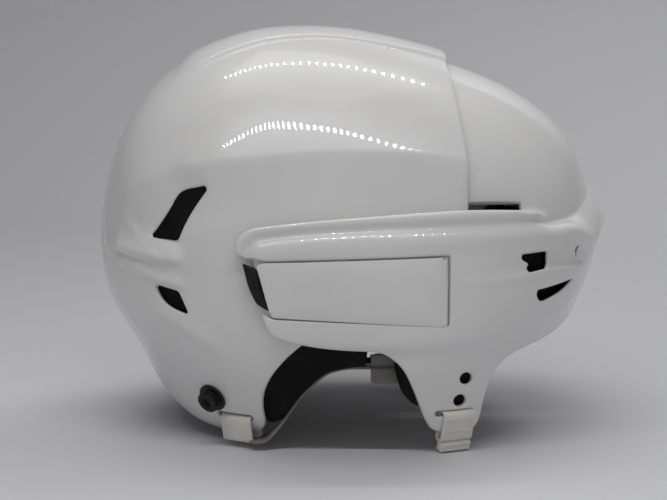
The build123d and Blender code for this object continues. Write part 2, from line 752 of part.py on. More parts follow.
plate_top = -shell_wall - post_plate_gap
with BuildPart() as post_plate:
    add(disc(post_plane, post_plate_radius, plate_top - post_plate_thickness, plate_top))
    add(disc(post_plane, post_shank_radius + hinge_play, -far_out, far_out), mode=Mode.SUBTRACT)
with BuildPart() as post_plates:
    add(post_plate.part)
    add(post_plate.part.mirror(Plane.XZ))
export(post_plates.part, "post_plates")


def section_plane(plane, shift):
    """A plane across a loop: x points out of the shell and y points down."""
    return Plane(origin=plane.origin, x_dir=plane.z_dir, z_dir=plane.x_dir).offset(shift)


def drop_to(plane, out, low):
    """How far down a loop's plane reaches the level low, at a distance out of the shell."""
    down = section_plane(plane, 0).y_dir
    return (low - plane.origin.Z - out * plane.z_dir.Z) / down.Z


def loop_ring(plane, slot_plane, wall, inner_play, low):
    """A flat loop through the slot and round the edge, cut off at the standing level."""
    down = section_plane(plane, 0).y_dir
    top = (slot_plane.origin - plane.origin).dot(down)
    out = loop_play + loop_wall
    bottom = drop_to(plane, out, low)
    inside = -wall - inner_play
    with BuildPart() as ring:
        with BuildSketch(section_plane(plane, -loop_width / 2)):
            with Locations(((out + inside - loop_wall) / 2, (top - loop_wall / 2 + bottom) / 2)):
                RectangleRounded(out - inside + loop_wall, bottom - top + loop_wall / 2, loop_round)
            with Locations(((loop_play + inside) / 2, (top + loop_wall / 2 + bottom - loop_wall) / 2)):
                Rectangle(loop_play - inside, bottom - top - loop_wall * loop_gap_share, mode=Mode.SUBTRACT)
        extrude(amount=loop_width)
        split(bisect_by=Plane.XY, keep=Keep.TOP)
    return ring.part


rear_loop = loop_ring(rear_loop_plane, rear_slot_plane, shell_wall, rear_loop_inner_play, -foot_trim)
export_pair(rear_loop, "rear_strap_loop")
front_loop = loop_ring(
    front_loop_plane, front_slot_plane, band_wall, front_loop_inner_play, keeper_height + running_gap
)
export_pair(front_loop, "front_strap_loop")

keeper_top = drop_to(front_loop_plane, loop_play + loop_wall, keeper_height)
keeper_bottom = drop_to(front_loop_plane, loop_play + loop_wall, -foot_trim)
with BuildPart() as strap_keeper:
    with BuildSketch(section_plane(front_loop_plane, -loop_width / 2)):
        with Locations((loop_play + loop_wall - keeper_thickness / 2, (keeper_top + keeper_bottom) / 2)):
            RectangleRounded(keeper_thickness, keeper_bottom - keeper_top, loop_round)
            Rectangle(strap_thickness, (keeper_bottom - keeper_top) / 2, mode=Mode.SUBTRACT)
    extrude(amount=loop_width)
    split(bisect_by=Plane.XY, keep=Keep.TOP)
export_pair(strap_keeper.part, "strap_keeper")

# Ear straps: the rear one rises from its loop and lies under the front one in the slider
slider_x, slider_z = spot(slider_share)
strap_side = side_y(slider_x, slider_z, pad_outer - side_liner_thickness) - strap_clearance
strap_route = [spot(pair) for pair in strap_route_shares]
anchor_tab_plane = anchor_plane.offset(-anchor_boss_depth - running_gap)
strap_end = anchor_tab_plane.origin.X - anchor_tab_width / 2 - rack_travel - 2 * running_gap
strap_route[-1] = (strap_end, slider_z)
strap_radii = []
for before, corner, after in zip(strap_route, strap_route[1:], strap_route[2:]):
    turn = Vector(*corner) - Vector(*before)
    leave = Vector(*after) - Vector(*corner)
    shorter = min(turn.length, leave.length)
    strap_radii.append(bend_share * shorter / math.tan(math.radians(turn.get_angle(leave)) / 2))
with BuildPart() as rear_strap:
    with BuildSketch(Plane.XZ.offset(strap_side - strap_width)):
        with BuildLine():
            FilletPolyline(*strap_route, radius=strap_radii)
        trace(line_width=strap_thickness)
    extrude(amount=strap_width)
export_pair(rear_strap.part, "rear_strap")

strap_screw_top = -anchor_boss_depth - 2 * running_gap - strap_thickness
front_strap_z = slider_z + strap_thickness + running_gap
front_strap_start = slider_x - slider_length / 2 - slider_travel / 2
with BuildPart() as front_strap:
    with BuildSketch(Plane.XZ.offset(strap_side - strap_width)):
        with Locations(((front_strap_start + anchor_plane.origin.X) / 2, front_strap_z)):
            Rectangle(anchor_plane.origin.X - front_strap_start, strap_thickness)
    extrude(amount=strap_width)
    with BuildSketch(anchor_tab_plane):
        with Locations((0, anchor_tab_height / 4)):
            Rectangle(anchor_tab_width, anchor_tab_height)
    extrude(amount=-strap_thickness)
    add(disc(anchor_plane, anchor_screw_radius + post_bore_play, -far_out, 0), mode=Mode.SUBTRACT)
    add(disc(anchor_plane, anchor_head_radius + running_gap, -far_out, strap_screw_top), mode=Mode.SUBTRACT)
export_pair(front_strap.part, "front_strap")

with BuildPart() as strap_screws:
    for tool in (
        disc(anchor_plane, anchor_screw_radius, strap_screw_top, -anchor_screw_depth - running_gap),
        disc(anchor_plane, anchor_head_radius, strap_screw_top - anchor_head_height, strap_screw_top),
    ):
        add(tool)
        add(tool.mirror(Plane.XZ))
export(strap_screws.part, "strap_screws")

channel_low = slider_z - strap_thickness / 2 - loop_play
channel_high = front_strap_z + strap_thickness / 2 + loop_play
with BuildPart() as strap_slider:
    with BuildSketch(Plane.YZ.offset(slider_x - slider_length / 2)):
        with Locations((strap_width / 2 - strap_side, (channel_low + channel_high) / 2)):
            Rectangle(strap_width + 2 * (loop_play + slider_wall), channel_high - channel_low + 2 * slider_wall)
        with Locations((-strap_side - loop_play - slider_wall / 2, slider_z)):
            Rectangle(slider_wall, slider_height)
        with Locations((strap_width / 2 - strap_side, (channel_low + channel_high) / 2)):
            Rectangle(strap_width + 2 * loop_play, channel_high - channel_low, mode=Mode.SUBTRACT)
    extrude(amount=slider_length)
export_pair(strap_slider.part, "strap_slider")
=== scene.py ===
import json
import math

import bmesh
import bpy
import numpy as np
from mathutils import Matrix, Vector
from mathutils.geometry import delaunay_2d_cdt
from mathutils.kdtree import KDTree


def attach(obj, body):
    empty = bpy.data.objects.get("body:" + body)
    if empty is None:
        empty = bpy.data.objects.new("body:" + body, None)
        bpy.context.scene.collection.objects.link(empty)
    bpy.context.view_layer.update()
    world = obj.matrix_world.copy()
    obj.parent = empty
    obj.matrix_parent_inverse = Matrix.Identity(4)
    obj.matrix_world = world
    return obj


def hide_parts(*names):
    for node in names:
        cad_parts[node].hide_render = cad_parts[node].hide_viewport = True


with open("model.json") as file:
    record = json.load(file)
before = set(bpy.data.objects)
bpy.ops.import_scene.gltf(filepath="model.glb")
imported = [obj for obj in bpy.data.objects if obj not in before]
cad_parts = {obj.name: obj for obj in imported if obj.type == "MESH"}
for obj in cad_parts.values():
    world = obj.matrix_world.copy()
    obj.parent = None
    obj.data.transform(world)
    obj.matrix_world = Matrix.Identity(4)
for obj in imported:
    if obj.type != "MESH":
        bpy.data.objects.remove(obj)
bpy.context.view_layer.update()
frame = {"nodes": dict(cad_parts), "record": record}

# Shapes are worked out in millimetres in the frame of the model and scaled when a mesh is made
MM = 0.001
LENGTH = 285.0
HEIGHT = 222.5
HALF_BREADTH = 98.0
QUARTER = math.pi / 2

# The form: a side-view profile about the ear, and how full and how wide it is, as shares
EAR_SHARES = (-0.028, 0.135)
PROFILE_SHARES = [
    (0.344, -0.022), (0.389, 0.180), (0.429, 0.297), (0.473, 0.449), (0.4835, 0.575), (0.465, 0.661),
    (0.437, 0.728), (0.372, 0.811), (0.295, 0.872), (0.175, 0.930), (0.051, 0.971), (-0.105, 0.991),
    (-0.224, 0.964), (-0.342, 0.883), (-0.428, 0.751), (-0.484, 0.573), (-0.495, 0.458), (-0.477, 0.346),
    (-0.428, 0.229), (-0.382, 0.112), (-0.346, 0.036), (-0.281, -0.018), (-0.193, -0.054),
]
# How much further out the profile stands at an angle about the ear, in degrees and millimetres
PROFILE_GROWTH = [
    (-90.0, 0.0), (8.0, 0.0), (18.0, -2.0), (24.0, -1.6), (30.0, -1.6), (36.0, -2.3), (42.0, -1.1),
    (50.0, -0.2), (60.0, 0.0), (90.0, 0.0), (98.0, 0.3), (104.0, 1.4), (110.0, 2.3), (116.0, 3.4),
    (122.0, 4.7), (128.0, 5.4), (134.0, 4.4), (140.0, 2.0), (146.0, 0.8), (152.0, 0.4), (158.0, 1.2),
    (164.0, 2.8), (170.0, 2.8), (176.0, 3.0), (182.0, 2.8), (188.0, 2.0), (194.0, 1.0), (200.0, 0.3),
    (210.0, 0.0), (268.0, 0.0),
]
SIDE_FULLNESS = 2.3
CROWN_FULLNESS = 1.3
TAPER = 0.19
TAPER_HEIGHT = 0.427 * HEIGHT

# Walls and layers, as in the solids
WALL = 3.0
CAP_DEPTH = -4.2
BAND = 8.0
SKIRT = 5.0
GROOVE = 5.2

# Places on the disc about the ear this close to its rim count as on it
ON_RIM = 1e-7


def spline(places, values):
    """A natural cubic spline through the values, as a function of the place."""
    places = np.asarray(places, float)
    values = np.asarray(values, float)
    gaps = np.diff(places)
    slopes = np.diff(values, axis=0) / (gaps if values.ndim == 1 else gaps[:, None])
    count = len(places)
    system = np.eye(count)
    turns = np.zeros(values.shape)
    for row in range(1, count - 1):
        system[row, row - 1:row + 2] = gaps[row - 1], 2 * (gaps[row - 1] + gaps[row]), gaps[row]
        turns[row] = 6 * (slopes[row] - slopes[row - 1])
    bends = np.linalg.solve(system, turns)

    def at(place):
        place = np.clip(np.asarray(place, float), places[0], places[-1])
        span = np.clip(np.searchsorted(places, place) - 1, 0, count - 2)
        before, after, gap = place - places[span], places[span + 1] - place, gaps[span]
        if values.ndim == 2:
            before, after, gap = before[..., None], after[..., None], gap[..., None]
        curved = (bends[span] * after**3 + bends[span + 1] * before**3) / (6 * gap)
        rising = (values[span] / gap - bends[span] * gap / 6) * after
        return curved + rising + (values[span + 1] / gap - bends[span + 1] * gap / 6) * before

    return at


def walked_along(line):
    """How far each point of a line is from its first one, along the line."""
    return np.concatenate([[0], np.cumsum(np.linalg.norm(np.diff(line, axis=0), axis=1))])


def unit(vector):
    """The vector, or each one of several, at length 1."""
    vector = np.asarray(vector, float)
    return vector / np.maximum(np.linalg.norm(vector, axis=-1, keepdims=True), 1e-12)


def corner_curve(a, corner, b, shares):
    """Points on the smooth curve from a to b that cuts the corner between them."""
    return [(1 - t) ** 2 * a + 2 * t * (1 - t) * corner + t * t * b for t in shares]


def spot(shares):
    """A side-view point in millimetres from shares of the length and height."""
    return shares[0] * LENGTH, shares[1] * HEIGHT


def shares_to_spots(shares):
    return [spot(pair) for pair in shares]


EAR_X, EAR_Z = spot(EAR_SHARES)
PROFILE = np.array(shares_to_spots(PROFILE_SHARES))
ANGLES = np.degrees(np.arctan2(PROFILE[:, 1] - EAR_Z, PROFILE[:, 0] - EAR_X))
plain_radius = spline(
    np.where(ANGLES < -90, ANGLES + 360, ANGLES), np.hypot(PROFILE[:, 0] - EAR_X, PROFILE[:, 1] - EAR_Z)
)
growth = spline(*zip(*PROFILE_GROWTH))


def profile_radius(theta):
    return plain_radius(theta) + growth(theta)


def fullness(theta):
    return SIDE_FULLNESS + CROWN_FULLNESS * np.sin(np.radians(theta)) ** 2


def breadth_at(z):
    return HALF_BREADTH * (1 - TAPER * np.clip((TAPER_HEIGHT - z) / TAPER_HEIGHT, 0, 2) ** 2)


def turn_of(x, z):
    """The angle about the ear in degrees, from -90 up to 270."""
    theta = np.degrees(np.arctan2(z, x))
    return np.where(theta < -90, theta + 360, theta)


def rho_of(places):
    """How far places are from the middle of the disc, whose rim is at a quarter turn."""
    return np.hypot(places[..., 0], places[..., 1])


def to_rim(places):
    """Places moved straight to the rim of the disc."""
    return places / np.maximum(rho_of(places), 1e-9)[..., None] * QUARTER


def unroll(xz, depth=0.0):
    """Side-view points as places on a disc about the ear, whose rim is the mid plane."""
    xz = np.asarray(xz, float)
    x, z = xz[..., 0] - EAR_X, xz[..., 1] - EAR_Z
    theta = turn_of(x, z)
    reach = np.hypot(x, z) / (profile_radius(theta) + depth)
    rho = np.where(reach < 1, np.arcsin(np.clip(reach, 0, 1)), QUARTER + 0.6 * (reach - 1))
    return np.stack([rho * np.cos(np.radians(theta)), rho * np.sin(np.radians(theta))], -1)


def form(places, depth=0.0):
    """Points in millimetres on the right half of the form, grown by the depth, at places on the disc."""
    rho = np.minimum(rho_of(places), QUARTER)
    theta = turn_of(places[..., 0], places[..., 1])
    reach = np.sin(rho)
    radius = reach * (profile_radius(theta) + depth)
    x = EAR_X + radius * np.cos(np.radians(theta))
    z = EAR_Z + radius * np.sin(np.radians(theta))
    side = np.sqrt(np.clip(1 - reach ** fullness(theta), 0, 1))
    side = np.where(rho > QUARTER - 1e-9, 0, side)
    return np.stack([x, -(breadth_at(z) + depth) * side, z], -1)


# A missing coordinate is searched for up to this far from the ear, by halving the span this often
FARTHEST = 200.0
HALVINGS = 40


def place_of(x, y, z, depth=0.0):
    """The disc places of points whose two coordinates are known: the missing one is None."""
    x, y, z = (None if v is None else np.atleast_1d(np.asarray(v, float)) for v in (x, y, z))
    if y is None:
        return unroll(np.stack([x, z], -1), depth)
    known = z if x is None else x
    centre = EAR_Z if x is None else EAR_X
    near = np.zeros_like(y)
    far = np.full_like(y, FARTHEST)
    sign = -1.0 if x is None else 1.0
    for _ in range(HALVINGS):
        middle = (near + far) / 2
        trial = (EAR_X + sign * middle, known) if x is None else (known, EAR_Z + middle)
        theta = turn_of(trial[0] - EAR_X, trial[1] - EAR_Z)
        reach = np.hypot(trial[0] - EAR_X, trial[1] - EAR_Z) / (profile_radius(theta) + depth)
        outside = reach ** fullness(theta) + (y / (breadth_at(trial[1]) + depth)) ** 2 > 1
        far = np.where(outside, middle, far)
        near = np.where(outside, near, middle)
    return unroll(np.stack(trial, -1), depth)


# The step on the disc over which slopes are measured
SLOPE_STEP = 1e-3


def slopes(places, depth=0.0):
    """How the form's points move with the two disc coordinates, as 3 by 2 matrices."""
    held = places * np.minimum(1, (QUARTER - 2 * SLOPE_STEP) / np.maximum(rho_of(places), 1e-6))[..., None]
    columns = [
        (form(held + step, depth) - form(held - step, depth)) / (2 * SLOPE_STEP)
        for step in (np.array((SLOPE_STEP, 0)), np.array((0, SLOPE_STEP)))
    ]
    return np.stack(columns, -1)


# A point inside the helmet, which the normals point away from
MIDDLE = (EAR_X, 0, 80)


def outward(places, depth=0.0):
    """The form's normals, pointing away from the middle of the helmet."""
    across = slopes(places, depth)
    normal = unit(np.cross(across[..., 0], across[..., 1]))
    flip = np.sign(np.sum(normal * (form(places, depth) - MIDDLE), -1))
    return normal * flip[..., None]


def frame_at(shares, depth=0.0):
    """A place on the form: its origin, outward normal, level direction along it and the one downward."""
    place = unroll(np.array([spot(shares)]), depth)
    origin, normal = form(place, depth)[0], outward(place, depth)[0]
    along = unit(np.array([-normal[1], normal[0], 0.0]))
    return origin, normal, along, np.cross(along, normal)


def smooth_run(points, step=1.5):
    """A dense smooth line through the points of an outline's run."""
    points = np.asarray(points, float)
    if len(points) == 2:
        count = max(2, int(np.linalg.norm(points[1] - points[0]) / step))
        return points[0] + (points[1] - points[0]) * np.linspace(0, 1, count)[:, None]
    walked = walked_along(points)
    return spline(walked, points)(np.linspace(0, walked[-1], max(4, int(walked[-1] / step))))


def thin(places, least, depth):
    """The line without points that lie closer together than the least step."""
    solid = form(places, depth)
    kept = [0]
    outside = rho_of(places) > QUARTER
    for number in range(1, len(places)):
        if outside[number] or outside[kept[-1]] or np.linalg.norm(solid[number] - solid[kept[-1]]) > least:
            kept.append(number)
    return places[kept]


def with_crossings(places):
    """The closed line with a point exactly on the rim of the disc wherever it crosses that rim."""
    out = []
    rho = rho_of(places)
    for number in range(len(places)):
        after = (number + 1) % len(places)
        out.append(places[number])
        if (rho[number] - QUARTER) * (rho[after] - QUARTER) < 0:
            share = (QUARTER - rho[number]) / (rho[after] - rho[number])
            cross = places[number] + share * (places[after] - places[number])
            out.append(to_rim(cross))
    return np.array(out)


def within(places, loop):
    """Which places lie inside a closed line."""
    x, z = places[:, 0], places[:, 1]
    inside = np.zeros(len(places), bool)
    for a, b in zip(loop, np.roll(loop, -1, axis=0)):
        between = (a[1] > z) != (b[1] > z)
        if between.any():
            at = (b[0] - a[0]) * (z - a[1]) / (b[1] - a[1] + 1e-15) + a[0]
            inside ^= between & (x < at)
    return inside


def turned_area(loop):
    """The area inside a closed line, negative where it runs clockwise."""
    x, z = loop[:, 0], loop[:, 1]
    return 0.5 * np.sum(x * np.roll(z, -1) - np.roll(x, -1) * z)


def quarter_turned(flat):
    """Flat vectors turned a quarter to their left."""
    return np.stack([-flat[:, 1], flat[:, 0]], -1)


def leftward(steps, flat_along, along):
    """Moves on the disc that each go one millimetre on the form, square to the left of a line."""
    left = np.einsum("nij,nj->ni", steps, quarter_turned(flat_along))
    along = unit(along)
    left = unit(left - along * np.sum(left * along, axis=1, keepdims=True))
    square = np.einsum("nji,njk->nik", steps, steps) + 1e-9 * np.eye(2)
    return np.einsum("nij,nj->ni", np.linalg.inv(square), np.einsum("nji,nj->ni", steps, left))


def inset(loop, distance, depth=0.0):
    """The closed line moved to its left by a distance in millimetres; points on the disc's rim stay on it."""
    solid = form(loop, depth)
    along = np.roll(solid, -1, axis=0) - np.roll(solid, 1, axis=0)
    flat_along = np.roll(loop, -1, axis=0) - np.roll(loop, 1, axis=0)
    steps = slopes(loop, depth)
    moved = loop + distance * leftward(steps, flat_along, along)
    rho = rho_of(loop)
    tangent = quarter_turned(loop) / np.maximum(rho, 1e-9)[:, None]
    sideways = np.sign(np.sum(quarter_turned(flat_along) * tangent, axis=1))
    stretch = np.linalg.norm(np.einsum("nij,nj->ni", steps, tangent), axis=1)
    slid = to_rim(loop + tangent * (sideways * distance / np.maximum(stretch, 1e-6))[:, None])
    on_rim = np.abs(rho - QUARTER) < 1e-9
    outside = rho > QUARTER + 1e-9
    moved[on_rim] = slid[on_rim]
    moved[outside] = (loop + (slid - to_rim(loop)))[outside]
    return moved


def grown(loop, distance):
    """The closed line moved outward by a distance on the form."""
    return inset(loop if turned_area(loop) > 0 else loop[::-1], -distance)


def rows_beside(line, offsets, step):
    """Rows of places at distances in millimetres beside a line of disc places."""
    walked = walked_along(form(line))
    at = np.linspace(0, walked[-1], max(3, int(walked[-1] / step)))
    line = np.stack([np.interp(at, walked, line[:, k]) for k in (0, 1)], -1)
    ends = np.vstack([2 * line[0] - line[1], line, 2 * line[-1] - line[-2]])
    flat_along = ends[2:] - ends[:-2]
    steps = slopes(line)
    move = leftward(steps, flat_along, np.einsum("nij,nj->ni", steps, flat_along))
    return [line + distance * move for distance in offsets]


class Crease:
    """A line on the form: tells how far beside it and how far along it points lie."""

    def __init__(self, places, offsets=(), step=1.2):
        self.places = np.asarray(places, float)
        self.solid = form(self.places)
        self.walked = walked_along(self.solid)
        self.length = self.walked[-1]
        self.rows = rows_beside(self.places, offsets, step) if len(offsets) else []

    def beside(self, points):
        """Signed distance, left of the line positive, and the share along it, for points on the form."""
        best = np.full(len(points), 1e9)
        signed = np.zeros(len(points))
        share = np.zeros(len(points))
        for number, (a, b) in enumerate(zip(self.solid[:-1], self.solid[1:])):
            run = b - a
            size = run @ run
            if size < 1e-12:
                continue
            t = np.clip((points - a) @ run / size, 0, 1)
            off = points - (a + t[:, None] * run)
            far = np.linalg.norm(off, axis=1)
            nearer = far < best - 1e-9
            if not nearer.any():
                continue
            middle = (self.places[number:number + 1] + self.places[number + 1:number + 2]) / 2
            left = np.cross(outward(middle)[0], run)
            best = np.where(nearer, far, best)
            signed = np.where(nearer, np.where(off @ left < 0, -far, far), signed)
            share = np.where(nearer, (self.walked[number] + t * math.sqrt(size)) / self.length, share)
        return signed, share


def ease(value, low, high):
    """0 below low, 1 above high, and smooth between."""
    t = np.clip((value - low) / (high - low), 0, 1)
    return t * t * (3 - 2 * t)


def fade(share, begun, ending, begin=0.0):
    """1 along a crease and 0 at its ends: full from one share of its length, less again after another."""
    return ease(share, begin, begun) * (1 - ease(share, ending, 1.0))


def ledge(side, slope, power, edge, fall):
    """A ridge with a long slope above it and a short fall below its edge."""
    return np.where(side > 0, np.clip(1 - side / slope, 0, 1) ** power, 1 - soft_step(-side - edge, fall))


def ridge(side, above, below, flat=0.0):
    """A rounded ridge as wide as said above and below it, and flat for a little below its line."""
    return np.where(side > 0, 1 - ease(side, 0, above), 1 - ease(-side, flat, below))


def flat_at(level):
    """The depth function of a wall face that keeps to one level."""
    return lambda places, base: np.full(len(places), level)


def soft_step(value, width, round_off=0.35):
    """A ramp from 0 to 1 over the width, centred on zero, with only its two corners rounded."""
    t = value / width + 0.5
    low = np.where(t < round_off, (t + round_off) ** 2 / (4 * round_off), t)
    low = np.where(t < -round_off, 0, low)
    u = 1 - t
    high = np.where(u < round_off, (u + round_off) ** 2 / (4 * round_off), u)
    high = np.where(u < -round_off, 0, high)
    return np.clip(np.where(t < 0.5, low, 1 - high), 0, 1)


def mesh_object(name, vertices, faces, body, slot, replaces=()):
    """A mesh from millimetres, which rides on a body and takes its finish from a slot."""
    mesh = bpy.data.meshes.new(name)
    mesh.from_pydata([tuple(v) for v in np.asarray(vertices) * MM], [], [tuple(f) for f in faces])
    mesh.validate()
    mesh.polygons.foreach_set("use_smooth", [True] * len(mesh.polygons))
    mesh.update()
    obj = bpy.data.objects.new(name, mesh)
    bpy.context.collection.objects.link(obj)
    finish_piece(obj, body, slot, replaces)
    return obj


def finish_piece(obj, body, slot, replaces=()):
    """Gives the piece its finish, rides it on a body and hides the parts it replaces; the ear straps' darker
    finish is the strap plastic with painted shade.
    """
    obj.data.materials.clear()
    obj.data.materials.append(MATERIALS[slot])
    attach(obj, body)
    "strap_plastic" if slot == "ear_strap_painted_shade" else slot
    if replaces:
        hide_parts(*replaces)


def mirrored(vertices, faces, on_rim):
    """The half and its mirror image in the mid plane, sharing the points on the rim."""
    other = np.empty(len(vertices), int)
    moved = np.nonzero(~on_rim)[0]
    other[on_rim] = np.nonzero(on_rim)[0]
    other[moved] = len(vertices) + np.arange(len(moved))
    twins = vertices[moved] * (1, -1, 1)
    turned = [tuple(int(other[i]) for i in reversed(face)) for face in faces]
    return np.vstack([vertices, twins]), list(faces) + turned


def search_tree(points):
    tree = KDTree(len(points))
    for number, point in enumerate(points):
        tree.insert(point, number)
    tree.balance()
    return tree


def between_rims(places, rims):
    """Which places on the disc lie inside the first rim and outside the holes."""
    keep = within(places, rims[0]) & (rho_of(places) <= QUARTER + 1e-9)
    for hole in rims[1:]:
        keep &= ~within(places, hole)
    return keep


def rim_chains(rims, insets):
    """Each rim with its places' numbers and its pairs of neighbours, then all those places and links."""
    chains, places, links = [], [], []
    for rim, moved in zip(rims, insets):
        shown = rho_of(rim) <= QUARTER + 1e-9
        number_of = -np.ones(len(rim), int)
        for number in np.nonzero(shown)[0]:
            number_of[number] = len(places)
            places.append(moved[number])
        pairs = [(a, (a + 1) % len(rim)) for a in range(len(rim)) if shown[a] and shown[(a + 1) % len(rim)]]
        links += [(int(number_of[a]), int(number_of[b])) for a, b in pairs]
        chains.append((rim, number_of, pairs))
    return chains, np.array(places), links


# How close a crease's points may come to a rim and to one another, in millimetres, and to the disc's rim
CREASE_TO_RIM = 0.45
CREASE_TO_CREASE = 0.3
CREASE_TO_MIDDLE = 4e-3
# Millimetres on the form for one unit on the disc, along its rim and across it
RIM_SCALE = 125.0
DISC_SCALE = 105.0


def filled(places, insets, creases, spacing, depth):
    """The inner rims' places, then those on the creases, on the disc's rim and on an even grid between."""
    def clear(some, tree, distance):
        return some[np.array([tree.find(point)[2] > distance for point in form(some, depth)], bool)]

    tree = search_tree(form(places, depth))
    extra = np.vstack([np.empty((0, 2)), *[row for crease in creases for row in crease.rows]])
    extra = extra[between_rims(extra, insets) & (rho_of(extra) < QUARTER - CREASE_TO_MIDDLE)]
    extra = clear(extra, tree, CREASE_TO_RIM)
    unique = {}
    for number, point in enumerate(form(extra, depth)):
        unique.setdefault(tuple(np.round(point / CREASE_TO_CREASE).astype(int)), number)
    extra = extra[sorted(unique.values())]
    turns = np.radians(np.arange(-89.0, 269.0, math.degrees(spacing / RIM_SCALE)))
    rim_places = QUARTER * np.stack([np.cos(turns), np.sin(turns)], -1)
    rim_places = clear(rim_places[between_rims(rim_places * 0.9999, insets)], tree, spacing * 0.5)
    fixed = np.vstack([places, extra, rim_places])
    step = spacing / DISC_SCALE
    grid = np.array([
        (x + (row % 2) * step / 2, z) for row, z in enumerate(np.arange(-QUARTER, QUARTER, step * 0.87))
        for x in np.arange(-QUARTER, QUARTER, step)
    ])
    grid = grid[rho_of(grid) < QUARTER - step * 0.5]
    grid = clear(grid[between_rims(grid, insets)], search_tree(form(fixed, depth)), spacing * 0.62)
    return np.vstack([fixed, grid])


def triangulated(places, links, insets):
    """Triangles between the places, which keep the links and the rim of the disc as edges."""
    ring = np.nonzero(np.abs(rho_of(places) - QUARTER) < ON_RIM)[0]
    ring = ring[np.argsort(turn_of(places[ring, 0], places[ring, 1]))]
    links = links + [(int(a), int(b)) for a, b in zip(ring[:-1], ring[1:])]
    flat = [Vector((float(x), float(z))) for x, z in places]
    verts, _, faces, origins, _, _ = delaunay_2d_cdt(flat, links, [], 0, 1e-9)
    now = np.array([tuple(v) for v in verts])
    index_of = {source: number for number, sources in enumerate(origins) for source in sources}
    faces = np.array([tuple(face) for face in faces])
    corners = now[faces]
    middles = corners.mean(axis=1)
    turn = np.cross(corners[:, 1] - corners[:, 0], corners[:, 2] - corners[:, 0])
    keep = between_rims(middles, insets) & (rho_of(middles) < QUARTER - ON_RIM) & (np.abs(turn) > 1e-12)
    faces, turn = faces[keep], turn[keep]
    faces[turn < 0] = faces[turn < 0][:, ::-1]
    return now, index_of, faces


def moulded(loop, holes, outer, inner, creases=(), spacing=2.2, edge=1.2, edge_inside=0.6, rows=4, depth=0.0):
    """A moulded wall on the right half of the form, from an outline, its holes and two depth functions."""
    loop = loop if turned_area(loop) > 0 else loop[::-1]
    rims = [loop, *[hole if turned_area(hole) < 0 else hole[::-1] for hole in holes]]
    insets = [inset(rim, edge, depth) for rim in rims]
    chains, places, links = rim_chains(rims, insets)
    now, index_of, faces = triangulated(filled(places, insets, creases, spacing, depth), links, insets)

    # Both walls share those triangles
    flat_rim = np.abs(rho_of(now) - QUARTER) < ON_RIM
    now[flat_rim] = to_rim(now[flat_rim])
    base = form(now)
    count = len(now)
    vertices = [form(now, outer(now, base)), form(now, inner(now, base))]
    rim_flags = [flat_rim, flat_rim]
    all_faces = [tuple(int(i) for i in face) for face in faces]
    all_faces += [tuple(int(i) + count for i in reversed(face)) for face in faces]
    total = 2 * count

    # Rounded edges join them: rows that turn from the outer wall over each rim to the inner one
    angles = np.linspace(0, QUARTER, rows + 1)
    turned = [(outer, -edge, angle) for angle in angles[::-1][1:]]
    turned += [(inner, edge_inside, angle) for angle in angles[:-1]]
    for rim, number_of, pairs in chains:
        shown = np.nonzero(number_of >= 0)[0]
        local = {int(number): k for k, number in enumerate(shown)}
        flags = np.abs(rho_of(rim[shown]) - QUARTER) < ON_RIM
        layers = [[index_of[int(number_of[number])] for number in shown]]
        for wall, drop, angle in turned:
            moved = inset(rim, edge * (1 - math.cos(angle)), depth)[shown]
            moved[flags] = to_rim(moved[flags])
            vertices.append(form(moved, wall(moved, form(moved)) + drop * (1 - math.sin(angle))))
            rim_flags.append(flags)
            layers.append(list(range(total, total + len(shown))))
            total += len(shown)
        layers.append([number + count for number in layers[0]])
        for upper, lower in zip(layers[:-1], layers[1:]):
            for a, b in pairs:
                a, b = local[a], local[b]
                all_faces.append((upper[b], upper[a], lower[a], lower[b]))
    vertices = np.vstack(vertices)
    rim_flags = np.concatenate(rim_flags)
    vertices[rim_flags, 1] = 0
    used = np.zeros(len(vertices), bool)
    for face in all_faces:
        used[list(face)] = True
    renumber = np.cumsum(used) - 1
    all_faces = [tuple(int(renumber[i]) for i in face) for face in all_faces]
    return vertices[used], all_faces, rim_flags[used]


# Materials

def material(name):
    made = bpy.data.materials.new(name)
    made.use_nodes = True
    nodes = made.node_tree.nodes
    nodes.clear()
    output = nodes.new("ShaderNodeOutputMaterial")
    shader = nodes.new("ShaderNodeBsdfPrincipled")
    made.node_tree.links.new(shader.outputs[0], output.inputs[0])
    return made, nodes, made.node_tree.links, shader


def noise(nodes, links, scale, detail=3.0, stretch=None, roughness=0.5):
    """Noise in the piece's own coordinates, stretched along them if asked."""
    place = nodes.new("ShaderNodeTexCoord")
    texture = nodes.new("ShaderNodeTexNoise")
    texture.inputs["Scale"].default_value = scale
    texture.inputs["Detail"].default_value = detail
    texture.inputs["Roughness"].default_value = roughness
    if stretch:
        mapping = nodes.new("ShaderNodeMapping")
        mapping.inputs["Scale"].default_value = stretch
        links.new(place.outputs["Object"], mapping.inputs["Vector"])
        links.new(mapping.outputs[0], texture.inputs["Vector"])
    else:
        links.new(place.outputs["Object"], texture.inputs["Vector"])
    return texture.outputs["Fac"]


def ramp(nodes, links, value, stops):
    """Colours between stops, each a place and a colour."""
    made = nodes.new("ShaderNodeValToRGB")
    links.new(value, made.inputs[0])
    elements = made.color_ramp.elements
    while len(elements) < len(stops):
        elements.new(0.5)
    for element, (place, colour) in zip(elements, stops):
        element.position = place
        element.color = (*colour, 1)
    return made.outputs[0]


def span(nodes, links, value, low, high):
    """A value from 0 to 1 laid between two others."""
    made = nodes.new("ShaderNodeMapRange")
    made.inputs["To Min"].default_value = low
    made.inputs["To Max"].default_value = high
    links.new(value, made.inputs["Value"])
    return made.outputs[0]


